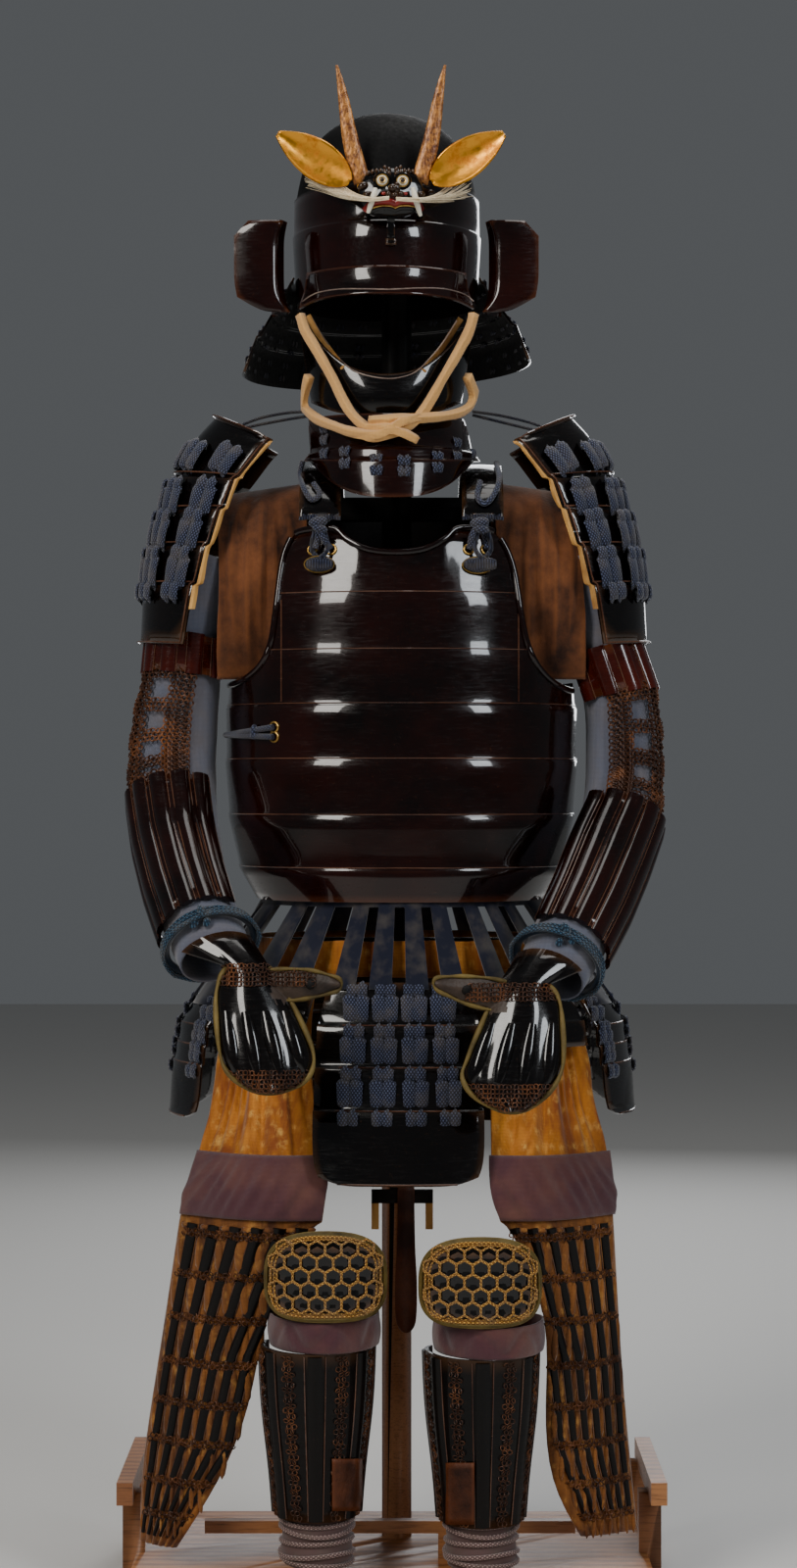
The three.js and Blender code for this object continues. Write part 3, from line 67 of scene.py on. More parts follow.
class Paint:
    """One material: a Principled shader with named values, and short calls that add texture nodes."""

    def __init__(self, name, **values):
        self.material = bpy.data.materials.new(name)
        self.material.use_nodes = True
        self.tree = self.material.node_tree
        self.shader = self.tree.nodes["Principled BSDF"]
        for key, value in values.items():
            self.shader.inputs[key.replace("_", " ")].default_value = value
        self.places = {}

    def node(self, kind, inputs=None, **settings):
        made = self.tree.nodes.new("ShaderNode" + kind)
        for key, value in settings.items():
            setattr(made, key, value)
        for key, value in (inputs or {}).items():
            if isinstance(value, bpy.types.NodeSocket):
                self.tree.links.new(value, made.inputs[key])
            else:
                made.inputs[key].default_value = value
        return made

    def place(self, scale=(1, 1, 1), turn=(0, 0, 0), kind="Object"):
        if kind not in self.places:
            self.places[kind] = self.node("TexCoord").outputs[kind]
        inputs = {"Vector": self.places[kind], "Scale": scale, "Rotation": turn}
        return self.node("Mapping", inputs).outputs[0]

    def noise(self, scale, detail=3, rough=0.5, place=None, warp=0):
        inputs = {"Scale": scale, "Detail": detail, "Roughness": rough, "Distortion": warp}
        inputs["Vector"] = place or self.place()
        return self.node("TexNoise", inputs).outputs["Fac"]

    def cells(self, scale, place=None, feature="F1", random_=1.0):
        inputs = {"Scale": scale, "Randomness": random_, "Vector": place or self.place()}
        return self.node("TexVoronoi", inputs, feature=feature).outputs["Distance"]

    def wave(self, period, axis="X", warp=0, place=None, detail=1):
        # A wave texture of scale 1 repeats every 2 pi / 20.
        inputs = {"Scale": 2 * math.pi / 20 / period, "Distortion": warp, "Detail": detail}
        inputs["Vector"] = place or self.place()
        return self.node("TexWave", inputs, wave_type="BANDS", bands_direction=axis).outputs["Fac"]

    def ramp(self, fac, *stops):
        made = self.node("ValToRGB", {"Fac": fac})
        elements = made.color_ramp.elements
        while len(elements) < len(stops):
            elements.new(0.5)
        for element, (at, value) in zip(elements, stops):
            element.position = at
            element.color = value if hasattr(value, "__len__") else (value, value, value, 1)
        return made.outputs["Color"]

    def maths(self, operation, a, b=0.5):
        return self.node("Math", {0: a, 1: b}, operation=operation).outputs[0]

    def mix(self, fac, a, b):
        made = self.node("Mix", data_type="RGBA")
        for index, value in ((0, fac), (6, a), (7, b)):
            if isinstance(value, bpy.types.NodeSocket):
                self.tree.links.new(value, made.inputs[index])
            else:
                made.inputs[index].default_value = value
        return made.outputs[2]

    def edges(self, low=0.52, high=0.6):
        point = self.node("NewGeometry").outputs["Pointiness"]
        return self.ramp(point, (low, 0), (high, 1))

    def bump(self, height, depth, strength=1.0, under=None):
        inputs = {"Height": height, "Distance": depth, "Strength": strength}
        if under is not None:
            inputs["Normal"] = under
        return self.node("Bump", inputs).outputs["Normal"]

    def feed(self, **sockets):
        for key, value in sockets.items():
            self.tree.links.new(value, self.shader.inputs[key.replace("_", " ")])
        return self.material


def rgb(r, g, b):
    """A colour as seen, 0 to 255 each, in the shader's linear values."""
    return tuple((c / 255) ** 2.2 for c in (r, g, b)) + (1,)


def lacquer(name, dark, warm, worn, gloss=0.1, coat=0.75):
    """Old polished lacquer: deep colour with warm patches, hairline scratches and rubbed edges."""
    p = Paint(name, Coat_Weight=coat, Coat_Roughness=0.05, Coat_IOR=1.5, Specular_IOR_Level=0.15)
    patches = p.ramp(p.noise(9, 5, 0.6), (0.35, dark), (0.72, warm))
    specks = p.ramp(p.noise(420, 2, 0.7), (0.66, 0), (0.8, 0.5))
    color = p.mix(specks, patches, worn)
    color = p.mix(p.edges(0.53, 0.62), color, worn)
    scratches = p.noise(60, 6, 0.7, p.place((1, 1, 7)))
    rough = p.ramp(scratches, (0.4, gloss), (0.75, gloss + 0.28))
    swell = p.bump(p.noise(22, 2), 0.0016, 0.35)
    normal = p.bump(scratches, 0.0002, 0.5, swell)
    p.feed(Coat_Normal=p.bump(p.noise(26, 1), 0.0010, 0.25))
    return p.feed(Base_Color=color, Roughness=rough, Normal=normal)


def satin_iron(name, dark, brown, gloss=0.42):
    """Blackened iron with fine pitting and a little rust on its edges."""
    p = Paint(name, Metallic=0.1, Specular_IOR_Level=0.3)
    pits = p.noise(260, 4, 0.65)
    color = p.mix(p.ramp(p.noise(34, 5, 0.65), (0.48, 0), (0.78, 0.75)), dark, brown)
    color = p.mix(p.edges(0.53, 0.6), color, brown)
    rough = p.ramp(pits, (0.3, gloss - 0.1), (0.8, gloss + 0.2))
    return p.feed(Base_Color=color, Roughness=rough, Normal=p.bump(pits, 0.0004, 0.6))


def braid(name, dark, light, kind="UV", width=0.0028):
    """Plaited silk cord: slanted threads that cross, worn paler where they stand proud."""
    p = Paint(name, Sheen_Weight=0.25, Sheen_Roughness=0.5, Specular_IOR_Level=0.2)
    one = p.wave(width, "X", 0.6, p.place(turn=(0, 0, math.radians(38)), kind=kind))
    two = p.wave(width, "X", 0.6, p.place(turn=(0, 0, math.radians(-38)), kind=kind))
    threads = p.maths("MULTIPLY", one, two)
    color = p.mix(p.ramp(threads, (0.1, 0), (0.8, 1)), dark, light)
    color = p.mix(p.ramp(p.noise(55, 4), (0.45, 0), (0.75, 0.45)), color, rgb(96, 88, 78))
    rough = p.ramp(threads, (0, 0.95), (1, 0.7))
    return p.feed(Base_Color=color, Roughness=rough, Normal=p.bump(threads, 0.0006, 0.9))


def cloth(name, dark, light, period=0.0012, fade=None):
    """Plain weave with slubs, faded patches and soft crumples."""
    p = Paint(name, Sheen_Weight=0.3, Sheen_Roughness=0.6, Specular_IOR_Level=0.15)
    over = p.wave(period, "X", 0.8)
    across = p.wave(period, "Z", 0.8)
    weave = p.maths("MULTIPLY", over, across)
    color = p.mix(p.ramp(weave, (0.1, 0.3), (0.8, 0.7)), dark, light)
    color = p.mix(p.ramp(p.noise(16, 5, 0.6), (0.42, 0), (0.75, 0.55)), color, fade or light)
    crumple = p.bump(p.noise(38, 4, 0.55, warp=0.5), 0.003, 0.45)
    rough = p.ramp(p.noise(70, 3), (0.3, 0.8), (0.7, 0.97))
    return p.feed(Base_Color=color, Roughness=rough, Normal=p.bump(weave, 0.0004, 0.7, crumple))


def hide(name, dark, light, grain=420, rough=0.6, nap=0.0):
    """Leather with pebbled grain, or suede where it has a nap."""
    p = Paint(name, Sheen_Weight=nap, Sheen_Roughness=0.45, Specular_IOR_Level=0.3)
    pebbles = p.cells(grain, feature="SMOOTH_F1")
    stains = p.noise(18, 6, 0.62)
    color = p.mix(p.ramp(stains, (0.35, 0), (0.7, 1)), dark, light)
    color = p.mix(p.edges(0.52, 0.62), color, light)
    folds = p.bump(p.noise(30, 4, 0.5, warp=1.0), 0.0025, 0.5)
    value = p.ramp(stains, (0.3, rough + 0.1), (0.75, rough - 0.12))
    return p.feed(Base_Color=color, Roughness=value, Normal=p.bump(pebbles, 0.0005, 0.6, folds))


def metal(name, bright, worn, rough=0.3, specks=160):
    """Gilt or brass, rubbed through to a darker ground in small patches."""
    p = Paint(name, Metallic=1.0)
    rub = p.ramp(p.noise(specks, 5, 0.7), (0.5, 0), (0.66, 1))
    color = p.mix(rub, bright, worn)
    value = p.ramp(p.noise(specks, 5, 0.7), (0.45, rough), (0.7, rough + 0.35))
    return p.feed(Base_Color=color, Roughness=value, Normal=p.bump(p.noise(90, 4), 0.0006, 0.5))


# Shapes.


def placed(name, mesh, paint, replaces=(), smooth=45):
    """Makes a piece of a mesh, rides it on the body and hides the parts it replaces."""
    piece = bpy.data.objects.new(name, mesh)
    bpy.context.scene.collection.objects.link(piece)
    for one in paint if isinstance(paint, (list, tuple)) else [paint]:
        mesh.materials.append(one)
    mesh.shade_smooth()
    if smooth:
        mesh.set_sharp_from_angle(angle=math.radians(smooth))
    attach(piece, "root")
    if replaces:
        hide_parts(*replaces)
    return piece


def applied(piece):
    """The piece's mesh with its modifiers applied."""
    graph = bpy.context.evaluated_depsgraph_get()
    mesh = bpy.data.meshes.new_from_object(piece.evaluated_get(graph))
    piece.modifiers.clear()
    piece.data = mesh
    return piece


def refined(node, paint, levels=2, crease=38, smooth=45, shape=None):
    """A smooth piece on a solid's form: its faces joined to quads and subdivided, its corners kept."""
    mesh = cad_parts[node].data.copy()
    mesh.materials.clear()
    bm = bmesh.new()
    bm.from_mesh(mesh)
    bmesh.ops.remove_doubles(bm, verts=bm.verts, dist=2e-6)
    bmesh.ops.recalc_face_normals(bm, faces=bm.faces)
    angle = math.radians(crease)
    bmesh.ops.join_triangles(
        bm, faces=bm.faces, angle_face_threshold=math.radians(22), angle_shape_threshold=math.radians(70)
    )
    layer = bm.edges.layers.float.new("crease_edge")
    for edge in bm.edges:
        if len(edge.link_faces) == 2 and edge.calc_face_angle(0) > angle:
            edge[layer] = 1.0
    bm.to_mesh(mesh)
    bm.free()
    piece = placed(f"{node}_surface", mesh, paint, (node,), None)
    if levels:
        step = piece.modifiers.new("smooth", "SUBSURF")
        step.levels = step.render_levels = levels
        applied(piece)
    if shape:
        points = [vertex.co.copy() for vertex in piece.data.vertices]
        normals = [vertex.normal.copy() for vertex in piece.data.vertices]
        moved = [c for point, normal in zip(points, normals) for c in shape(point, normal)]
        piece.data.vertices.foreach_set("co", moved)
        piece.data.update()
    piece.data.shade_smooth()
    piece.data.set_sharp_from_angle(angle=math.radians(smooth))
    return piece


def tree_of(*pieces):
    """What rays are cast on: the surfaces of these pieces."""
    points, faces = [], []
    for piece in pieces:
        base = len(points)
        points += [vertex.co.copy() for vertex in piece.data.vertices]
        faces += [[base + i for i in face.vertices] for face in piece.data.polygons]
    return BVHTree.FromPolygons(points, faces)


def at(x, y, z):
    """A place named in millimetres about the suit's own middle."""
    return Vector((x, y, z)) * MM + SHIFT


def mix(a, b, t):
    return a + (b - a) * t


def spread(a, b, count):
    """Numbers at even steps from one to the other, both included."""
    return [mix(a, b, k / (count - 1)) for k in range(count)]


def circle(count):
    return [2 * math.pi * k / count for k in range(count)]


def cast(tree, start, way, out=0.0):
    """The point, moved out a little, and the normal where a ray meets a surface; None where it misses."""
    point, normal, _, _ = tree.ray_cast(Vector(start), Vector(way).normalized(), 10)
    if point is None:
        return None
    if normal.dot(Vector(way)) > 0:
        normal = -normal
    return point + normal * out, normal


def sight_line(px, py):
    return Vector(((px - PHOTO[0] / 2) * PIXEL, DISTANCE, (PHOTO[1] / 2 - py) * PIXEL))


def seen(tree, px, py, out=0.0):
    """Where the line of sight through a pixel of the photo meets a surface."""
    return cast(tree, EYE, sight_line(px, py), out)


def sight(px, py, y):
    """The point at a depth of y millimetres on the line of sight through a pixel of the photo."""
    return EYE + sight_line(px, py) * ((at(0, y, 0).y - EYE.y) / DISTANCE)


def smooth_path(points, steps=6):
    """A Catmull-Rom curve through the points."""
    points = [Vector(p) for p in points]
    line = [points[0] * 2 - points[1], *points, points[-1] * 2 - points[-2]]
    out = []
    for a, b, c, d in zip(line, line[1:], line[2:], line[3:]):
        for k in range(steps):
            t = k / steps
            bend, twist = 2 * a - 5 * b + 4 * c - d, 3 * b - a - 3 * c + d
            out.append(0.5 * (2 * b + (c - a) * t + bend * t**2 + twist * t**3))
    return out + [points[-1]]


class Heap:
    """Many small forms gathered into one mesh, with lengths in metres as UVs along each."""

    def __init__(self):
        self.points, self.faces, self.uvs = [], [], []

    def grid(self, rows, closed=False, caps=False):
        """Rows of points joined into quads; closed joins each row's end to its start."""
        base, width = len(self.points), len(rows[0])
        self.points += [Vector(p) for row in rows for p in row]
        last = width if closed else width - 1
        along = 0.0
        for j in range(len(rows) - 1):
            step = (Vector(rows[j + 1][0]) - Vector(rows[j][0])).length
            across = 0.0
            for i in range(last):
                k = (i + 1) % width
                wide = (Vector(rows[j][k]) - Vector(rows[j][i])).length
                low, high, far, up = base + j * width, base + (j + 1) * width, across + wide, along + step
                self.faces.append([low + i, low + k, high + k, high + i])
                self.uvs.append([(across, along), (far, along), (far, up), (across, up)])
                across += wide
            along += step
        if caps:
            for j, order in ((0, -1), (len(rows) - 1, 1)):
                ring = [base + j * width + i for i in range(width)][::order]
                self.faces.append(ring)
                self.uvs.append([(0, 0)] * width)
        return self

    def tube(self, path, radius, sides=6, closed=False, flat=1.0, up=None):
        """A round or flattened tube; radius may be a function of the share of the way along."""
        path = [Vector(p) for p in path]
        count = len(path)
        rows, side = [], None
        for i, p in enumerate(path):
            ahead = path[(i + 1) % count] if closed or i < count - 1 else p * 2 - path[i - 1]
            behind = path[i - 1] if closed or i else p * 2 - path[1]
            way = (ahead - behind).normalized()
            lift = Vector(up(i) if callable(up) else up or (0, -1, 0.01))
            if side is None or up is not None:
                side = way.cross(lift)
                if side.length < 1e-4:
                    side = way.cross(Vector((1, 0.1, 0)))
            else:
                side = side - way * side.dot(way)
            side.normalize()
            high = side.cross(way)
            r = radius(i / max(1, count - 1)) if callable(radius) else radius
            rows.append([p + side * (math.cos(a) * r) + high * (math.sin(a) * r * flat)
                         for a in circle(sides)])
        if closed:
            rows.append(rows[0])
        return self.grid(rows, True, not closed)

    def bead(self, place, normal, along, long, wide, high, sides=6, rings=3):
        """A low rounded lump on a surface, longest along one direction."""
        place, normal = Vector(place), Vector(normal).normalized()
        along = (Vector(along) - normal * normal.dot(Vector(along))).normalized()
        side = normal.cross(along)
        base = len(self.points)
        for j in range(rings):
            a = math.pi / 2 * j / rings
            for b in circle(sides):
                self.points.append(
                    place + along * (math.cos(a) * math.cos(b) * long / 2)
                    + side * (math.cos(a) * math.sin(b) * wide / 2) + normal * (math.sin(a) * high)
                )
        self.points.append(place + normal * high)
        top = len(self.points) - 1
        for j in range(rings):
            low = base + j * sides
            for k in range(sides):
                n = (k + 1) % sides
                face = [low + k, low + n]
                face += [low + sides + n, low + sides + k] if j < rings - 1 else [top]
                self.faces.append(face)
                offsets = [self.points[i] - place for i in face]
                self.uvs.append([(offset.dot(side), offset.dot(along)) for offset in offsets])
        return self

    def ring(self, place, normal, radius, thick, sides=8, round_=4, lean=0.0, turn=0.0):
        """A small ring lying on a surface, tipped by lean."""
        normal = Vector(normal).normalized()
        side = normal.cross(Vector((math.sin(turn), 0.05, math.cos(turn)))).normalized()
        tipped = Matrix.Rotation(lean, 3, side) @ normal
        other = tipped.cross(side)
        path = [Vector(place) + side * (math.cos(a) * radius) + other * (math.sin(a) * radius)
                for a in circle(sides)]
        return self.tube(path, thick, round_, True, up=lambda i: tipped)

    def build(self, name, paint, slot, replaces=()):
        mesh = bpy.data.meshes.new(name)
        mesh.from_pydata(self.points, [], self.faces)
        layer = mesh.uv_layers.new(name="UVMap")
        layer.data.foreach_set("uv", [c for face in self.uvs for uv in face for c in uv])
        mesh.update()
        return placed(name, mesh, paint, replaces, 50)


# Camera, light and floor.

camera = bpy.data.objects.new("camera", bpy.data.cameras.new("camera"))
camera.data.sensor_width = 36
camera.data.lens = 36 * DISTANCE / FIELD
camera.location = EYE
camera.rotation_euler = (math.pi / 2, 0, 0)
bpy.context.scene.collection.objects.link(camera)
bpy.context.scene.camera = camera

world = bpy.data.worlds.new("studio")
world.use_nodes = True
world.node_tree.nodes["Background"].inputs["Color"].default_value = (0.9, 0.95, 1, 1)
world.node_tree.nodes["Background"].inputs["Strength"].default_value = 0.1
bpy.context.scene.world = world

LAMPS = (
    # name, place, size, power, colour
    ("key", (-1.9, -2.6, 2.9), 1.5, 95, (1, 0.96, 0.9)),
    ("fill", (2.2, -2.6, 2.6), 1.1, 52, (0.9, 0.95, 1)),
    ("low", (1.5, -3.4, 0.9), 2.2, 9, (1, 0.94, 0.86)),
    ("top", (0.3, 0.4, 3.6), 1.8, 30, (1, 0.98, 0.95)),
    ("back", (0.5, 3.2, 2.2), 2.0, 40, (0.95, 0.97, 1)),
)
for name, place, size, power, color in LAMPS:
    lamp = bpy.data.lights.new(name, "AREA")
    lamp.shape = "RECTANGLE"
    lamp.size, lamp.size_y, lamp.energy, lamp.color = size * 0.7, size * 1.3, power, color
    holder = bpy.data.objects.new(name, lamp)
    holder.location = place
    holder.rotation_euler = (Vector((0, 0, 0.9)) - Vector(place)).to_track_quat("-Z", "Y").to_euler()
    holder.visible_glossy = name != "low"
    bpy.context.scene.collection.objects.link(holder)

floor_mesh = bpy.data.meshes.new("floor")
floor_mesh.from_pydata([(-9, -9, 0), (9, -9, 0), (9, 9, 0), (-9, 9, 0)], [], [(0, 1, 2, 3)])
floor = bpy.data.objects.new("floor", floor_mesh)
floor_mesh.materials.append(Paint("floor_paint", Base_Color=(0.6, 0.59, 0.57, 1), Roughness=0.7).material)
bpy.context.scene.collection.objects.link(floor)


# Palette.

LACQUER = lacquer("lacquer", rgb(14, 6, 5), rgb(38, 14, 9), rgb(86, 50, 32))
RED_LACQUER = lacquer("red_lacquer", rgb(32, 10, 7), rgb(72, 24, 14), rgb(120, 72, 42), 0.14)
BLACK_LACQUER = lacquer("black_lacquer", rgb(8, 7, 8), rgb(19, 14, 13), rgb(84, 58, 38), 0.12)
DULL_LACQUER = lacquer("dull_lacquer", rgb(7, 6, 6), rgb(22, 15, 12), rgb(84, 58, 38), 0.4, 0.2)
IRON = satin_iron("black_iron", rgb(8, 7, 8), rgb(28, 21, 17), 0.68)
CHAIN = satin_iron("chain_iron", rgb(62, 39, 27), rgb(158, 98, 58), 0.45)
LACING = braid("navy_lacing", rgb(27, 30, 44), rgb(84, 91, 116))
NAVY_PAD = braid("navy_pad", rgb(20, 22, 34), rgb(54, 60, 82), "Object", 0.0022)
TEAL_CORD = braid("teal_cord", rgb(18, 36, 52), rgb(58, 92, 116))
PINK_CORD = braid("faded_cord", rgb(94, 74, 72), rgb(178, 152, 144))
THIN_CORD = braid("thin_cord", rgb(24, 24, 32), rgb(64, 66, 80))
GOLD_CORD = braid("gold_cord", rgb(128, 84, 30), rgb(226, 178, 92))
ROPE = cloth("tan_rope_cloth", rgb(190, 126, 60), rgb(250, 206, 132), 0.0014, rgb(206, 148, 84))
SLEEVE = cloth("sleeve_cloth", rgb(54, 58, 74), rgb(122, 126, 142), 0.0013, rgb(116, 100, 86))
BAND = cloth("purple_band", rgb(44, 20, 26), rgb(104, 58, 66), 0.0012, rgb(128, 84, 66))
SUEDE = hide("brown_suede", rgb(42, 23, 13), rgb(120, 70, 36), 700, 0.85, 0.3)
LEATHER = hide("brown_leather", rgb(44, 22, 12), rgb(96, 52, 28), 420, 0.5)
TAN_EDGE = hide("tan_edge_leather", rgb(128, 84, 40), rgb(214, 162, 92), 520, 0.6)
OLIVE_EDGE = hide("olive_edge_leather", rgb(58, 48, 24), rgb(126, 106, 56), 520, 0.6)
THUMB_HIDE = hide("thumb_hide", rgb(32, 26, 24), rgb(76, 62, 52), 420, 0.5)
GILT = metal("gilt", rgb(240, 166, 58), rgb(196, 122, 44), 0.3, 46)
BRASS = metal("brass", rgb(214, 172, 96), rgb(120, 84, 40), 0.28, 260)
WHITE = Paint("white_inlay", Base_Color=rgb(236, 228, 206), Roughness=0.35, Coat_Weight=0.5).material
RED_MOUTH = Paint("red_mouth", Base_Color=rgb(140, 26, 18), Roughness=0.4, Coat_Weight=0.4).material


def horn_paint():
    """Speckled gold-brown bark-like lacquer on the horns."""
    p = Paint("speckled_horn", Coat_Weight=0.25, Coat_Roughness=0.3, Roughness=0.42, Metallic=0.25)
    flecks = p.cells(330, p.place((1, 1, 0.45)))
    color = p.mix(p.ramp(p.noise(120, 5, 0.75), (0.38, 0), (0.66, 1)), rgb(92, 46, 16), rgb(206, 138, 66))
    color = p.mix(p.ramp(flecks, (0.05, 0.8), (0.4, 0)), color, rgb(56, 26, 12))
    return p.feed(Base_Color=color, Normal=p.bump(flecks, 0.0007, 0.8))


def brocade_paint(name, ground, figure, dark):
    """Gold figured silk: ribbed ground, faint worn flowers and long dark streaks of painted fold shade."""
    p = Paint(name, Sheen_Weight=0.4, Sheen_Roughness=0.4, Specular_IOR_Level=0.3)
    flower = p.ramp(p.cells(74, p.place((1, 1, 0.8)), "SMOOTH_F1", random_=0.45), (0.12, 1), (0.34, 0))
    threads = p.ramp(p.noise(300, 3, 0.7, p.place((1, 1, 0.2))), (0.42, 0), (0.6, 1))
    figures = p.maths("MULTIPLY", p.maths("MULTIPLY", flower, threads), 0.55)
    # Long dark streaks down the cloth: painted shade of folds.
    fold_shade_streaks = p.noise(22, 6, 0.66, p.place((1.4, 1.4, 0.22)), 0.3)
    rib = p.wave(0.0014, "Z", 0.4)
    color = p.mix(p.ramp(fold_shade_streaks, (0.36, 0), (0.66, 1)), dark, ground)
    color = p.mix(figures, color, figure)
    color = p.mix(p.ramp(p.noise(52, 5, 0.7), (0.56, 0), (0.74, 0.5)), color, figure)
    color = p.mix(p.ramp(rib, (0.0, 0.35), (0.7, 0)), color, dark)
    folds = p.bump(p.noise(34, 4, 0.55, p.place((1.5, 1.5, 0.3)), 0.4), 0.004, 0.6)
    rough = p.ramp(figures, (0, 0.75), (1, 0.5))
    ribs = p.bump(rib, 0.0003, 0.6, folds)
    return p.feed(Base_Color=color, Roughness=rough, Normal=p.bump(figures, 0.0004, 0.6, ribs))


def wood_paint():
    """Oiled softwood with long grain and darkened pores."""
    p = Paint("oiled_wood", Coat_Weight=0.15, Coat_Roughness=0.35)
    rings = p.wave(0.019, "Y", 4.0, p.place((0.3, 1, 0.12)), 3)
    pores = p.noise(600, 3, 0.7, p.place((0.05, 1, 1)))
    color = p.ramp(rings, (0.1, rgb(132, 84, 50)), (0.8, rgb(166, 112, 68)))
    color = p.mix(p.ramp(pores, (0.5, 0), (0.75, 0.8)), color, rgb(66, 38, 20))
    rough = p.ramp(pores, (0.3, 0.4), (0.8, 0.65))
    return p.feed(Base_Color=color, Roughness=rough, Normal=p.bump(pores, 0.0004, 0.6))


def hair_paint():
    p = Paint("cream_hair", Sheen_Weight=0.3, Roughness=0.6)
    strand = p.noise(900, 2, 0.6, p.place((0.06, 1, 1)))
    return p.feed(Base_Color=p.ramp(strand, (0.3, rgb(188, 160, 112)), (0.7, rgb(248, 238, 210))))


HORN = horn_paint()
HAIR = hair_paint()
WOOD = wood_paint()
BROCADE = brocade_paint("gold_brocade", rgb(206, 132, 46), rgb(244, 192, 98), rgb(128, 66, 20))
THIGH_BROCADE = brocade_paint("brown_brocade", rgb(158, 98, 42), rgb(214, 156, 78), rgb(74, 42, 20))


# Surfaces on the solids' forms.


def crumple(depth, size, stretch=(1, 1, 1)):
    """Moves points along their normals by slow folds."""

    def moved(point, normal):
        q = Vector((point.x * stretch[0], point.y * stretch[1], point.z * stretch[2])) / size
        return point + normal * (noise.noise(q) * depth)

    return moved


# How deep the listed folds lie, as a multiple of the depths in their lists, and how far up and down they
# reach, as a share of the cloth's height. A cloth's edges keep a fifth of its folds.
DRAPE, FOLD_REACH, EDGE_FOLD = 1.45, 0.55, 0.2
WRINKLE_SIZE = 0.03


def folded(axis, creases, top, low, wrinkle=0.0012):
    """Folds at listed places round an upright axis; both walls of a cloth move together."""

    def moved(point, normal):
        x, y = point.x - axis[0] * MM - SHIFT.x, point.y - axis[1] * MM - SHIFT.y
        share = (point.z / MM - low) / (top - low)
        degree = math.degrees(math.atan2(y, x))
        hold = min(1, max(0, 6 * share)) * min(1, max(0, 5 * (1 - share))) * (1 - EDGE_FOLD) + EDGE_FOLD
        depth = noise.noise(point / WRINKLE_SIZE) * wrinkle / MM
        for angle, width, deep, slant, middle in creases:
            off = (degree - angle - slant * (share - 0.5) + 180) % 360 - 180
            across, along = off / width, (share - middle) / FOLD_REACH
            depth -= deep * DRAPE * math.exp(-(across**2)) * math.exp(-(along**2))
        way = Vector((x, y, 0)).normalized()
        return point + way * (depth * hold * MM)

    return moved


SURFACES = {}
PLATES = (
    # node, paint, slot, subdivisions, crease angle
    ("helmet_bowl", IRON, "matt_lacquer", 2, 30),
    ("helmet_peak", LACQUER, "lacquer", 2, 40),
    ("neck_guard", BLACK_LACQUER, "lacquer", 2, 30),
    ("crest_face", BLACK_LACQUER, "lacquer", 2, 60),
    ("face_guard", BLACK_LACQUER, "lacquer", 2, 40),
    ("throat_guard", LACQUER, "lacquer", 2, 30),
    ("body_front", LACQUER, "lacquer", 2, 40),
    ("body_back", LACQUER, "lacquer", 2, 40),
    *((f"tasset_{end}", BLACK_LACQUER, "lacquer", 2, 30)
      for end in ("front", "front_left", "front_right", "side_left", "side_right", "back")),
)
PAIRS = (
    ("turned_wing", LACQUER, "lacquer", 2, 40),
    ("crest_horn", HORN, "horn", 2, 50),
    ("crest_ear", GILT, "gold", 2, 50),
    ("shoulder_guard", BLACK_LACQUER, "lacquer", 2, 30),
    ("upper_splints", RED_LACQUER, "lacquer", 2, 40),
    ("forearm_splints", LACQUER, "lacquer", 2, 40),
    ("hand_guard", BLACK_LACQUER, "lacquer", 2, 45),
    ("thigh_splints", BLACK_LACQUER, "brocade", 2, 40),
    ("shin_guard", DULL_LACQUER, "lacquer", 2, 40),
    ("knee_guard", BLACK_LACQUER, "matt_lacquer", 0, 30),
    ("knee_rim", OLIVE_EDGE, "leather", 2, 60),
)
for node, paint, slot, levels, crease in PLATES:
    SURFACES[node] = refined(node, paint, levels, crease)
for node, paint, slot, levels, crease in PAIRS:
    for side in SIDES:
        SURFACES[f"{node}_{side}"] = refined(f"{node}_{side}", paint, levels, crease)

SOFT = (
    # node, paint, slot, fold depth, fold size, stretch
    ("chin_rope", ROPE, "rope", 0.0012, 0.02, (1, 1, 1)),
    ("thigh_belt", BROCADE, "brocade", 0.0015, 0.03, (1, 1, 0.4)),
)
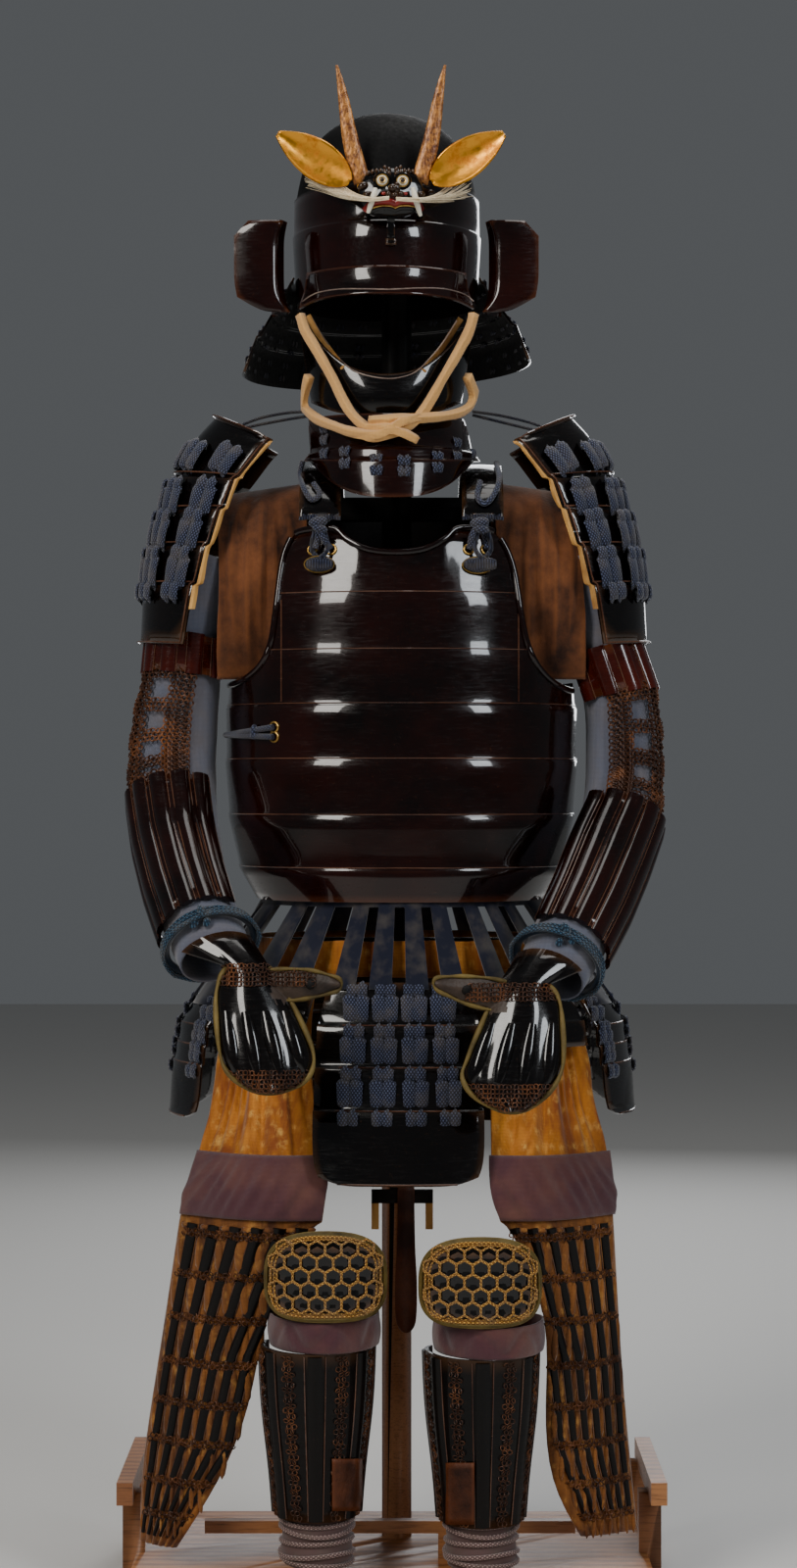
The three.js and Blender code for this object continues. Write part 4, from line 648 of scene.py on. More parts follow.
# Creases on the left side's cloths, which the right mirrors: angle, width, depth in mm, slant, and the share
# of the height where it is deepest.
CREASES = {
    "thigh_cloth": (
        (-128, 4, 5.0, 4, 0.3), (-119, 3.5, 6.5, 5, 0.6), (-110, 4, 5.5, -4, 0.4), (-101, 3.5, 7.0, 5, 0.5),
        (-93, 3, 5.0, -3, 0.7), (-85, 3.5, 7.0, 5, 0.4), (-76, 4, 6.0, -5, 0.5), (-67, 3.5, 6.5, 3, 0.3),
        (-58, 4, 5.5, 5, 0.6), (-49, 4, 4.5, 0, 0.5),
    ),
    "thigh_band": (
        (-160, 6, -2.6, 30, 0.5), (-146, 6, -3.0, 34, 0.4), (-131, 5, -2.4, 30, 0.6),
        (-117, 6, -3.0, 36, 0.5),
        (-103, 5, -2.6, 32, 0.3), (-88, 6, -3.2, 36, 0.6), (-73, 5, -2.4, 30, 0.5), (-58, 6, -3.0, 34, 0.4),
        (-42, 6, -2.4, 30, 0.5), (-26, 6, -2.4, 28, 0.5),
    ),
    "shoulder_cloth": (
        (-128, 4, 4.5, 5, 0.5), (-117, 4, 6.0, -4, 0.4), (-106, 4, 6.5, 4, 0.6), (-96, 3.5, 5.5, -4, 0.4),
        (-86, 4, 7.0, 5, 0.5), (-75, 3.5, 6.0, -4, 0.6), (-64, 4, 6.0, 4, 0.4), (-52, 4, 5.0, 3, 0.5),
        (150, 9, 4.0, 0, 0.5), (110, 9, 4.0, 0, 0.4), (70, 9, 4.0, 0, 0.5),
    ),
    "sleeve": (
        (-20, 9, 3.0, 20, 0.35), (-60, 9, 2.0, -15, 0.45), (-100, 8, 2.2, 15, 0.4), (-5, 9, 3.0, -20, 0.6),
        (20, 9, 3.0, 15, 0.5), (100, 9, 2.5, 20, 0.45),
    ),
    "knee_tie": (
        (-150, 8, 2.2, 30, 0.5), (-118, 7, 2.2, -25, 0.5), (-90, 7, 2.4, 28, 0.4), (-62, 7, 2.2, -22, 0.6),
        (-32, 8, 2.0, 20, 0.5), (60, 9, 2.0, 0, 0.5), (120, 9, 2.0, 0, 0.5),
    ),
}
FINE_CLOTH = ("thigh_cloth", "thigh_band", "shoulder_cloth", "knee_tie")
SOFT_PAIRS = (
    # node, paint, slot, wrinkle, how far behind the front the folds' axis stands
    ("shoulder_cloth", SUEDE, "suede", 0.0016, 90),
    ("sleeve", SLEEVE, "sleeve_cloth", 0.0020, 120),
    ("thigh_cloth", BROCADE, "brocade", 0.0014, 130),
    ("thigh_band", BAND, "band", 0.0010, 76),
    ("knee_tie", BAND, "band", 0.0014, 62),
    ("ankle_tie", PINK_CORD, "lacing", 0, 0),
    ("wrist_cord", TEAL_CORD, "lacing", 0, 0),
    ("shoulder_strap", BLACK_LACQUER, "lacing", 0, 0),
)
for node, paint, slot, depth, size, stretch in SOFT:
    SURFACES[node] = refined(node, paint, 2, 60, 60, crumple(depth, size, stretch) if depth else None)
for node, paint, slot, wrinkle, back in SOFT_PAIRS:
    for side in SIDES:
        shape = None
        if node in CREASES:
            corners = [vertex.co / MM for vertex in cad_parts[f"{node}_{side}"].data.vertices]
            low, high = [[pick(c[i] for c in corners) for i in range(3)] for pick in (min, max)]
            axis = ((low[0] + high[0]) / 2 - SHIFT.x / MM, low[1] + back - SHIFT.y / MM)
            turn = (lambda c: c) if side == "left" else (lambda c: (180 - c[0], c[1], c[2], -c[3], c[4]))
            shape = folded(axis, [turn(crease) for crease in CREASES[node]], high[2], low[2], wrinkle)
        levels = 3 if node in FINE_CLOTH else 2
        SURFACES[f"{node}_{side}"] = refined(f"{node}_{side}", paint, levels, 60, 60, shape)
SURFACES["hanging_laces"] = refined("hanging_laces", LACING, 1, 60)
SURFACES["stand"] = refined("stand", WOOD, 0)
SURFACES["centre_tab"] = refined("centre_tab", LEATHER, 2, 60)


# Lacing, seams and trim.


# The side view of one lace, in shares of its length and height: out of one hole, over the lame, into another.
LACE_ARCH = (
    (-0.5, -0.5), (-0.5, 0.12), (-0.4, 0.5), (-0.12, 0.62), (0.12, 0.62), (0.4, 0.5), (0.5, 0.12),
    (0.5, -0.5),
)


def pair(heap, hit, along, wide, long, high=2.8, lean=0.22):
    """Two plaited cords side by side, drawn through the lame in a slight V."""
    point, normal = hit
    side = normal.cross(along).normalized()
    for sign in (-1, 1):
        tilt = (along + side * (sign * lean)).normalized()
        middle = point + side * (sign * wide * 0.255)
        path = [middle + tilt * (long * u) + normal * (high * MM * v) for u, v in LACE_ARCH]
        heap.tube(path, wide * 0.265, 8, flat=0.36, up=normal)


def runs(points):
    """Cuts a row of points into unbroken runs, at misses and jumps."""
    out, run = [], []
    for point in points:
        if point is None or (run and (point - run[-1]).length > 0.03):
            if len(run) > 3:
                out.append(run)
            run = []
        if point is not None:
            run.append(point)
    return out + ([run] if len(run) > 3 else [])


def round_about(tree, centre, z, degrees, out=0.0):
    """Hits on a surface from outside, towards an upright axis, at each angle."""
    hits = []
    for degree in degrees:
        way = Vector((math.cos(math.radians(degree)), math.sin(math.radians(degree)), 0))
        start = at(*centre, z) + way * 0.6
        hits.append(cast(tree, start, -way, out))
    return hits


def trace(heap, hits, radius, sides=6, **shape):
    """Tubes along the unbroken runs of a row of hits."""
    for run in runs([hit and hit[0] for hit in hits]):
        heap.tube(run, radius, sides, **shape)


# Radii in metres.
SEAM, EDGE_LINE, RIM, EYELET, EYELET_WIRE, TIE = 0.0008, 0.0009, 0.0034, 0.0052, 0.0013, 0.0031
BODY_TREE = {name: tree_of(SURFACES[name]) for name in ("body_front", "body_back")}
BODY_AXIS = (10, 0)
SEAMS = (1057, 997, 940, 882, 823, 767)
# Thin pale lines along the body's lame seams and side seams: painted highlights on their edges.
seam_highlights = Heap()
for name, start in (("body_front", -180), ("body_back", 0)):
    for z in SEAMS:
        hits = round_about(BODY_TREE[name], BODY_AXIS, z, [start + 1 + k * 3 for k in range(60)], 0.0002)
        trace(seam_highlights, hits, SEAM, up=(0, 0, 1), flat=0.8)
SIDE_SEAMS = ((287, 612, 716), (529, 612, 716))
for px, top, low in SIDE_SEAMS:
    trace(seam_highlights, [seen(BODY_TREE["body_front"], px, py, 0.0001) for py in spread(top, low, 13)], EDGE_LINE)
# Paint of the thin pale edge lines: partly painted highlight along seams and lame edges, partly wear.
WORN_AND_HIGHLIGHT_EDGE = lacquer("worn_and_highlight_edge", rgb(48, 27, 20), rgb(112, 78, 60), rgb(168, 134, 108), 0.16)
seam_highlights.build("body_seam_highlights", WORN_AND_HIGHLIGHT_EDGE, "lacquer")

# Rolled rims round the armholes and neckline, a little inside the plates' outlines.
FRONT_RIM = (
    (-228, 962), (-182, 964), (-160, 968), (-141, 982), (-130, 1004), (-125, 1036), (-119, 1085),
    (-112, 1110),
    (-99, 1125), (-61, 1127), (-46, 1115), (-24, 1104), (5, 1101), (32, 1104), (54, 1115), (69, 1127),
    (104, 1126),
    (119, 1112), (131, 1082), (139, 1030), (147, 998), (160, 976), (180, 961), (204, 957), (230, 957),
)
BACK_RIM = (
    (-228, 962), (-165, 966), (-138, 1000), (-130, 1060), (-126, 1120), (-104, 1168), (-58, 1172),
    (-30, 1158),
    (10, 1152), (50, 1158), (78, 1172), (124, 1168), (146, 1120), (150, 1060), (158, 1000), (185, 966),
    (228, 962),
)
RIM_INSET = 2.4
rims = Heap()
for name, outline, way in (("body_front", FRONT_RIM, 1), ("body_back", BACK_RIM, -1)):
    line = smooth_path([(x, 0, z) for x, z in outline], 5)
    found = []
    for k, p in enumerate(line):
        ahead = line[min(k + 1, len(line) - 1)] - line[max(k - 1, 0)]
        inward = Vector((ahead.z, 0, -ahead.x)).normalized()
        q = p + inward * RIM_INSET
        found.append(cast(BODY_TREE[name], at(q.x, -way * 600, q.z), (0, way, 0), 0.0012))
    trace(rims, found, RIM, 8, up=(0, -way, 0.02), flat=0.75)
rims.build("body_rolled_rims", LACQUER, "lacquer")

# Brass eyelets and the navy side tie on the chest.
EYELETS = ((319, 561), (338, 561), (478, 561), (495, 561), (280, 742), (280, 752))
eyelets = Heap()
for px, py in EYELETS:
    hit = seen(BODY_TREE["body_front"], px, py, 0.0008)
    eyelets.ring(hit[0], hit[1], EYELET, EYELET_WIRE, 18, 8)
eyelets.build("brass_eyelets", BRASS, "gold")

side_tie = Heap()
TIE_ENDS, TIE_MEETING, TIE_KNOT = ((281, 742), (281, 752)), (233, 750), (262, 747)
for px, py in TIE_ENDS:
    line = []
    for t in (0, 0.2, 0.45, 0.7, 1):
        pixel = mix(px, TIE_MEETING[0], t), mix(py, TIE_MEETING[1], t)
        line.append(seen(BODY_TREE["body_front"], *pixel, 0.004 - 0.001 * t)[0])
    side_tie.tube(smooth_path(line, 5), TIE, 8)
hit = seen(BODY_TREE["body_front"], *TIE_KNOT, 0.003)
side_tie.bead(hit[0], hit[1], (0, 0, 1), 0.017, 0.010, 0.0055, 10, 4)
side_tie.build("side_tie", LACING, "lacing")

# Lacing on the shoulder guards: the panel's own rows, from front edge to back edge.
GUARD_ROWS = (
    # edge z, middle z, edge x, middle x, half depth
    (1004, 1008, 226, 279, 92), (1066, 1070, 216, 276, 93), (1069, 1073, 211, 272, 92),
    (1108, 1112, 202, 269, 93),
    (1111, 1115, 197, 264, 92), (1147, 1151, 186, 258, 92), (1150, 1154, 181, 252, 90),
    (1180, 1188, 171, 246, 88),
    (1183, 1192, 165, 240, 86), (1212, 1232, 143, 219, 79), (1219, 1240, 137, 212, 77),
    (1224, 1257, 131, 196, 72),
)
GUARD_OUT = {"left": -3.3, "right": 0}
SIGN = {"left": -1, "right": 1}


def guard_point(side, s, place):
    """s from -1 at the front edge to 1 at the back; place counts rows from the bottom."""
    j = min(int(place), len(GUARD_ROWS) - 2)
    row = [mix(a, b, place - j) for a, b in zip(GUARD_ROWS[j], GUARD_ROWS[j + 1])]
    bow = 1 - abs(s) ** 2.5
    x = (mix(row[2], row[3], bow) + GUARD_OUT[side]) * SIGN[side]
    return at(x, s * row[4], mix(row[0], row[1], bow))


def on_guard(side, s, place, out=0.0026):
    p = guard_point(side, s, place)
    across = guard_point(side, s + 0.02, place) - guard_point(side, s - 0.02, place)
    up = guard_point(side, s, min(place + 0.1, 11)) - guard_point(side, s, max(place - 0.1, 0))
    normal = across.cross(up).normalized()
    if normal.x * SIGN[side] < 0:
        normal = -normal
    return (p + normal * out, normal), up.normalized()


GUARD_COLUMNS = (-0.84, -0.5, -0.17, 0.17, 0.5, 0.84)
# Widths of small and large pairs, and how far they stand out in mm.
GUARD_WIDE, SKIRT_WIDE, GUARD_HIGH, SKIRT_HIGH, LACE_LEAN = (0.024, 0.029), (0.021, 0.026), 4.4, 4.2, 0.05
# Row place of the small upper pair and the large lower pair on each lame, with their lengths.
GUARD_LACES = ((0.9, 0.010), (2.78, 0.009), (2.3, 0.019), (4.78, 0.009), (4.3, 0.018), (6.72, 0.008),
               (6.25, 0.017), (8.5, 0.020))
for side in SIDES:
    laces, trim, edge_lines = Heap(), Heap(), Heap()
    for s in GUARD_COLUMNS:
        for place, long in GUARD_LACES:
            hit, up = on_guard(side, s, place)
            pair(laces, hit, up, GUARD_WIDE[long > 0.012], long * 1.5, GUARD_HIGH, LACE_LEAN)
    laces.build(f"shoulder_lacing_{side}", LACING, "lacing")
    # Pale lines along the lame edges: painted highlight and wear.
    for place in (0.02, 2.02, 4.02, 6.02, 8.02, 10.9):
        edge_lines.tube([on_guard(side, s, place, 0.0024)[0][0] for s in spread(-0.99, 0.99, 25)], EDGE_LINE)
    for s in (-0.985, 0.985):
        edge_lines.tube([on_guard(side, s, place, 0.0022)[0][0] for place in spread(0, 11, 31)], EDGE_LINE)
    edge_lines.build(f"shoulder_edges_{side}", WORN_AND_HIGHLIGHT_EDGE, "lacquer")
    rows = []
    for place in spread(0.6, 10.6, 61):
        hit, up = on_guard(side, -0.99, place, -0.001)
        inward = Vector((-SIGN[side], 0, 0))
        swing = noise.noise(Vector((place * 1.1, 3.0 if side == "left" else 8.0, 0.5)))
        wide = 0.0062 + 0.0035 * swing
        # The edging's section: how far inward and how far back each corner lies.
        section = ((0.001, -0.0012), (wide * 0.6, -0.0026 - 0.001 * swing), (wide, -0.0006), (wide, 0.0006),
                   (wide * 0.6, 0.0006), (0.001, 0.0006))
        rows.append([hit[0] + inward * w + Vector((0, d, 0)) for w, d in section])
    trim.grid(rows, True, True)
    trim.build(f"shoulder_edging_{side}", TAN_EDGE, "leather")

# Lacing down the skirt panels, from each panel's own angles and lame edges.
HIP_AXIS = (11, 0)
SKIRTS = (
    ("tasset_front", -111.5, -70.5, (648, 605, 562, 518, 441), 4),
    ("tasset_front_left", -142, -115, (640, 606, 578), 2),
    ("tasset_front_right", -67, -37, (640, 606, 578), 3),
    ("tasset_side_left", -214, -148, (626, 599, 578, 558, 499), 3),
    ("tasset_side_right", -32, 34, (626, 599, 578, 558, 502), 3),
    ("tasset_back", 38, 142, (640, 600, 560, 520, 470), 6),
)
for name, start, end, edges, count in SKIRTS:
    tree = tree_of(SURFACES[name])
    laces, edge_lines = Heap(), Heap()
    for k in range(count):
        degree = mix(start, end, (k + 0.5) / count)
        for row, top in enumerate(edges[:-1]):
            tall = top - edges[row + 1]
            last = row == len(edges) - 2
            for down, long in ((tall * 0.2, 0.0095), (tall * 0.64, tall * 0.00046)):
                if last and down > tall * 0.4:
                    continue
                hit = round_about(tree, HIP_AXIS, top - (9 if last else down), [degree], 0.0002)[0]
                if hit:
                    pair(laces, hit, UP, SKIRT_WIDE[long > 0.0096], long * 1.22, SKIRT_HIGH, LACE_LEAN)
    laces.build(f"{name}_lacing", LACING, "lacing")
    # Pale lines along the lame edges: painted highlight and wear.
    for z in edges[1:]:
        lift = 1.5 if z == edges[-1] else -1.2
        steps = int((end - start) / 2)
        trace(edge_lines, round_about(tree, HIP_AXIS, z + lift, [start + 1 + 2 * i for i in range(steps)]), EDGE_LINE)
    edge_lines.build(f"{name}_edges", WORN_AND_HIGHLIGHT_EDGE, "lacquer")

# Neck guard and throat guard lacing.
NECK_LAMES = ((1394, 0.014), (1378, 0.008), (1357, 0.008), (1350, 0.013), (1334, 0.009), (1322, 0.012))
NECK_AXIS = (-6, 20)
neck_tree = tree_of(SURFACES["neck_guard"])
neck = Heap()
for k in range(15):
    degree = -4 + 188 * k / 14
    for z, long in NECK_LAMES:
        lean = 0.045 * math.cos(math.radians(degree)) * 110
        hit = round_about(neck_tree, NECK_AXIS, z + lean, [degree], 0.0002)[0]
        if hit:
            pair(neck, hit, UP, 0.015, long, 3.0)
neck.build("neck_guard_lacing", LACING, "lacing")

throat_tree = tree_of(SURFACES["throat_guard"])
throat = Heap()
THROAT_LACES = (
    # column, then the rows of its pairs, in the photo
    (331, (437, 449, 463)), (352, (461, 473)), (384, (468, 480)), (412, (470, 481)), (446, (466, 477)),
    (466, (452, 466)), (482, (436, 450, 463)),
)
for px, rows in THROAT_LACES:
    for py in rows:
        hit = seen(throat_tree, px, py, 0.0001)
        if hit:
            pair(throat, hit, UP, 0.013, 0.0085, 2.6)
throat.build("throat_lacing", LACING, "lacing")


# Arms and hands.

ARM_ROWS = {
    # x, y, z, half width, half depth of the sleeve from the shoulder to the wrist
    "left": (
        (-190, -12, 1100, 40, 66.6), (-208, -11, 1060, 40, 62), (-222, -14, 1014, 41, 52),
        (-225, -18, 971, 42, 50),
        (-232, -22, 925, 46, 50), (-235, -28, 880, 48, 50), (-234, -46, 838, 48, 50),
        (-226, -84, 790, 46, 46),
        (-212, -130, 745, 45, 44), (-196, -176, 706, 44, 40), (-180, -212, 676, 42, 34),
    ),
    "right": (
        (198, -12, 1100, 40, 66.6), (216, -11, 1050, 39, 62), (229, -14, 1000, 38, 52),
        (246, -18, 950, 39, 50),
        (249, -22, 905, 42, 50), (249, -28, 858, 42, 50), (245, -48, 815, 44, 50), (224, -88, 770, 46, 46),
        (203, -134, 726, 45, 44), (181, -180, 687, 43, 40), (162, -216, 658, 40, 34),
    ),
}


def arm_point(side, t, degree, out=0.0):
    """A point round the sleeve at a share t of its length, moved out by millimetres, and its normal."""
    rows = ARM_ROWS[side]
    place = t * (len(rows) - 1)
    i = min(len(rows) - 2, int(place))
    part = place - i

    def slope(k):
        a, b = rows[min(len(rows) - 1, k + 1)], rows[max(0, k - 1)]
        return (Vector(a[:3]) - Vector(b[:3])).normalized()

    along = slope(i).lerp(slope(i + 1), part).normalized()
    across = (Vector((1, 0, 0)) - along * along.x).normalized()
    through = across.cross(along)
    x, y, z, wide, deep = [mix(a, b, part) for a, b in zip(rows[i], rows[i + 1])]
    c, s = math.cos(math.radians(degree)), math.sin(math.radians(degree))
    ray = across * (wide * c) + through * (deep * s)
    point = Vector((x, y, z)) + across * ((wide + out) * c) + through * ((deep + out) * s)
    return at(*point), ray.normalized(), along


# Chain: each ring's radius and wire in metres, its sides, and how far it leans.
RINGS = {
    "sleeve": (0.0031, 0.00095, 8, 0.55), "hand": (0.0026, 0.0006, 8, 0.5),
    "thigh": (0.0026, 0.0007, 7, 0.5), "shin": (0.0027, 0.0006, 7, 0.5),
}


def chain_ring(heap, hit, kind, number, turn):
    """One ring of chain on a surface; every other one leans the other way."""
    radius, wire, sides, lean = RINGS[kind]
    heap.ring(hit[0], hit[1], radius, wire, sides, 4, lean if number % 2 else -lean, turn)


def turned(side, u, start, end):
    """The angle at a share u of the way from the outer back, over the front, to the inner side."""
    degree = mix(start, end, u)
    return -degree if side == "left" else degree - 180


# How flat a splint's section is: its height as a share of its width.
BAR_FLAT = 0.42
SPLINT_SETS = (
    # name, start and end along the sleeve, number, angles, half width in mm, paint
    ("upper", 0.197, 0.303, 5, (20, 200), 9.5, RED_LACQUER),
    ("forearm", 0.592, 0.905, 6, (40, 205), 9.2, LACQUER),
)
# Chain on a sleeve: the pitch of its rows in mm, its start and end along the sleeve, the share of the length
# that its rows are counted from, its columns, and its angles.
MAIL_PITCH, MAIL_START, MAIL_END, MAIL_SHARE = 5.3, 0.292, 0.612, 0.335
MAIL_COLUMNS, MAIL_ANGLES = 21, (72, 200)
for side in SIDES:
    edges = Heap()
    for word, start, end, count, (low, high), half, paint in SPLINT_SETS:
        bars = Heap()
        for k in range(count):
            u = (3 * k + 1.5) / (3 * count)
            rim = half * 0.99
            for shift, heap, radius, flat, out in (
                (0, bars, half, BAR_FLAT, 3.4), (-rim, edges, 0.6, 1, 3.9), (rim, edges, 0.6, 1, 3.9),
            ):
                path, lifts = [], []
                for t in spread(start, end, 17):
                    degree = turned(side, u, low, high) + math.degrees(shift / 47)
                    point, normal, _ = arm_point(side, t, degree, out)
                    path.append(point)
                    lifts.append(normal)
                taper = lambda s, r=radius: r * MM * (1 - 0.12 * s)
                heap.tube(path, taper, 10 if flat < 1 else 5, flat=flat, up=lambda i, n=lifts: n[i])
        bars.build(f"{word}_splint_bars_{side}", paint, "lacquer")
    # Pale lines along the splint edges: painted highlight and wear.
    edges.build(f"splint_edges_{side}", WORN_AND_HIGHLIGHT_EDGE, "lacquer")

    mail = Heap()
    length = sum((Vector(a[:3]) - Vector(b[:3])).length for a, b in zip(ARM_ROWS[side], ARM_ROWS[side][1:]))
    rows = int(MAIL_SHARE * length / MAIL_PITCH)
    for j in range(rows):
        t = mix(MAIL_START, MAIL_END, j / rows)
        cross_band = (j / rows * 4) % 1 < 0.36 or j > rows - 4
        for i in range(MAIL_COLUMNS):
            u = i / (MAIL_COLUMNS - 1)
            upright = u < 0.21 or 0.49 < u < 0.67 or u > 0.87
            if not (cross_band or upright):
                continue
            spot = arm_point(side, t, turned(side, u + 0.02 * (j % 2), *MAIL_ANGLES), 2.2)
            chain_ring(mail, spot, "sleeve", i + j, i * 0.4)
    mail.build(f"sleeve_mail_{side}", CHAIN, "lacquer")

HAND_ROWS = {
    # z, near x, far x, y
    "left": ((546, -136, -110, -284), (554, -153, -90, -282), (570, -168, -79, -278), (592, -174, -81, -272),
             (634, -178, -101, -259), (655, -175, -114, -252), (669, -168, -124, -247)),
    "right": ((528, 108, 134, -290), (540, 84, 153, -287), (560, 71, 168, -282), (580, 77, 173, -276),
              (622, 95, 172, -263), (640, 101, 168, -256), (651, 108, 160, -251)),
}
THUMB_ROWS = {
    "left": ((-122, -254, 652, 15), (-102, -260, 652, 16), (-82, -265, 653, 14), (-65, -268, 653, 10),
             (-52, -270, 653, 5)),
    "right": ((116, -258, 640, 15), (98, -263, 643, 16), (76, -268, 647, 14), (58, -271, 651, 10),
              (44, -273, 654, 5)),
}
# Leather edging: its radius, how much that varies, and how fast.
HAND_EDGE, THUMB_EDGE = (0.0024, 0.0007, 41), (0.0019, 0.0005, 33)


def uneven(radius, change, speed):
    """A radius that swells and thins along a tube."""
    return lambda s: radius + change * math.sin(s * speed)


for side in SIDES:
    rows, thumb = HAND_ROWS[side], THUMB_ROWS[side]
    tree = tree_of(SURFACES[f"hand_guard_{side}"])
    edging = Heap()
    round_hand = [(r[1], r[3], r[0]) for r in reversed(rows)] + [(r[2], r[3], r[0]) for r in rows]
    line = smooth_path([at(x, y - 1, z) for x, y, z in round_hand], 5)
    edging.tube(line, uneven(*HAND_EDGE), 8)
    round_thumb = [(x, y, z + h) for x, y, z, h in thumb] + [(x, y, z - h) for x, y, z, h in reversed(thumb)]
    edging.tube(smooth_path([at(x, y - 1, z) for x, y, z in round_thumb], 5), uneven(*THUMB_EDGE), 8)
    edging.build(f"hand_edging_{side}", OLIVE_EDGE, "leather")

    flutes = Heap()
    z_top, z_low = rows[4][0] - 8, rows[2][0] - 4
    for k in range(4):
        path = []
        for z in spread(z_top, z_low, 9):
            up = (z - rows[2][0]) / (rows[4][0] - rows[2][0])
            near, far = [mix(rows[2][c], rows[4][c], up) for c in (1, 2)]
            hit = cast(tree, at(mix(near, far, (3 * k + 1.5) / 12), -600, z), (0, 1, 0), -0.0006)
            if hit:
                path.append(hit[0])
        swell = lambda s: 0.0078 * (0.35 + 0.65 * math.sin(math.pi * min(1, 0.12 + s * 0.8)))
        flutes.tube(path, swell, 10, flat=0.5, up=(0, -1, 0.1))
    flutes.build(f"knuckle_flutes_{side}", BLACK_LACQUER, "lacquer")

    mail = Heap()
    for z_from, z_to in ((rows[0][0] + 2, rows[1][0] + 14), (rows[5][0] - 2, rows[6][0] + 2)):
        z = z_from
        while z < z_to:
            for i in range(26):
                x = mix(rows[3][1], rows[3][2], (i + 0.5 * (int(z) % 2)) / 25)
                hit = cast(tree, at(x, -600, z), (0, 1, 0), 0.0010)
                if hit and abs(hit[0].y - at(0, rows[3][3], 0).y) < 0.03:
                    chain_ring(mail, hit, "hand", i, i)
            z += 4.4
    mail.build(f"hand_mail_{side}", CHAIN, "lacquer")

    rivets = Heap()
    x, y, z, _ = thumb[2]
    hit = cast(tree, at(x, -600, z), (0, 1, 0))
    rivets.bead(hit[0], hit[1], (0, 0, 1), 0.011, 0.011, 0.003, 12, 4)
    rivets.build(f"thumb_rivet_{side}", IRON, "lacquer")

    hand = SURFACES[f"hand_guard_{side}"]
    hand.data.materials.append(THUMB_HIDE)
    limit = at(thumb[0][0], 0, 0).x
    for face in hand.data.polygons:
        c = face.center
        beyond = c.x > limit if side == "left" else c.x < limit
        if beyond and c.z > at(0, 0, thumb[0][2] - 17).z and c.y < at(0, -250, 0).y:
            face.material_index = 1

# Wrist cords: a few loose turns and a knot over the plain ring.
WRIST, WRIST_TURNS, TURN_POINTS, WRIST_CORD = 0.95, 3, 28, 0.0023
WRIST_KNOTS = ((0, 0, 0.016), (0.006, -0.012, 0.012), (-0.007, -0.014, 0.012))
for side in SIDES:
    cords = Heap()
    for turn in range(WRIST_TURNS):
        path = []
        for k in range(TURN_POINTS):
            degree = 360 * k / TURN_POINTS
            wobble = noise.noise(Vector((k * 0.5, turn * 3.1, 1.0 if side == "left" else 4.0)))
            point, _, along = arm_point(side, WRIST, degree, 6.2 + 1.2 * turn + 1.5 * wobble)
            path.append(point + along * ((turn - 1) * 0.0055 + 0.003 * wobble))
        cords.tube(path, WRIST_CORD, 7, True)
    for k, (dx, dz, long) in enumerate(WRIST_KNOTS):
        point, normal, along = arm_point(side, WRIST, turned(side, 0.35, 40, 205), 10)
        cords.bead(point + Vector((dx, 0, dz)), normal, (0.4 * k - 0.3, 0, 1), long, 0.008, 0.006, 8, 3)
    cords.build(f"wrist_turns_{side}", TEAL_CORD, "lacing")


# Legs.

# Heights of the lower thigh cloth and of the chain across it, and the number of splints between two of those.
THIGH_TOP, THIGH_LOW, THIGH_BARS = 400, 60, 6
THIGH_MAIL = (387, 343, 297, 250, 207, 166, 124, 88)
THIGH_RING_PITCH = 0.0052
THIGH_EDGES = {
    # z, outer x, inner x of the lower thigh cloth
    "left": ((430, -216, -70), (390, -223, -76), (261, -244, -136), (160, -260, -160), (60, -267, -227)),
    "right": ((430, 232, 103), (390, 233, 114), (261, 243, 156), (160, 250, 167), (60, 259, 206)),
}
for side in SIDES:
    piece = SURFACES[f"thigh_splints_{side}"]
    piece.data.materials[0] = THIGH_BROCADE
    tree = tree_of(piece)

    def thigh_edge(z):
        rows = THIGH_EDGES[side]
        for high, low in zip(rows, rows[1:]):
            if z >= low[0]:
                break
        t = (high[0] - z) / (high[0] - low[0])
        return mix(high[1], low[1], t), mix(high[2], low[2], t)

    def thigh(u, z, out=0.0):
        outer, inner = thigh_edge(z)
        return cast(tree, at(mix(inner, outer, 0.045 + 0.925 * u), -700, z), (0, 1, 0), out)

    def pitch(z):
        outer, inner = thigh_edge(z)
        return abs(outer - inner) / THIGH_BARS * MM

    bars, puffs, mail, edges = Heap(), Heap(), Heap(), Heap()
    for top, low in zip((THIGH_TOP, *THIGH_MAIL), (*THIGH_MAIL, THIGH_LOW)):
        wide = pitch((top + low) / 2)
        for k in range(THIGH_BARS):
            u = (k + 0.5) / THIGH_BARS
            path = [thigh(u, z, 0.0008) for z in spread(top - 4, low + 4, 6)]
            if None in path:
                continue
            bars.tube([p for p, _ in path], wide * 0.27, 8, flat=BAR_FLAT, up=(0, -1, 0.05))
            for shift in (-0.046, 0.046):
                line = [thigh(u + shift, z, 0.0010) for z in spread(top - 4, low + 4, 6)]
                if None not in line:
                    edges.tube([p for p, _ in line], 0.0006, 5)
        for k in range(THIGH_BARS + 1):
            hit = thigh(min(0.985, max(0.015, k / THIGH_BARS)), (top + low) / 2, -0.0004)
            if hit:
                along, long = (0.05 * math.sin(top + k), 0, 1), (top - low - 6) * MM
                puffs.bead(hit[0], hit[1], along, long, wide * 0.5, 0.0030, 8, 4)
    for z in THIGH_MAIL:
        count = max(8, int(pitch(z) * THIGH_BARS / THIGH_RING_PITCH))
        for row in (-2.2, 2.2):
            for i in range(count):
                hit = thigh((i + 0.5 * (row < 0)) / count, z + row, 0.0020)
                if hit and hit[1].y < -0.25:
                    chain_ring(mail, hit, "thigh", i, i * 1.3)
    bars.build(f"thigh_splint_bars_{side}", DULL_LACQUER, "lacquer")
    # Pale lines along the splint edges: painted highlight and wear.
    edges.build(f"thigh_splint_edges_{side}", WORN_AND_HIGHLIGHT_EDGE, "lacquer")
    puffs.build(f"thigh_cloth_puffs_{side}", THIGH_BROCADE, "brocade")
    mail.build(f"thigh_mail_{side}", CHAIN, "lacquer")

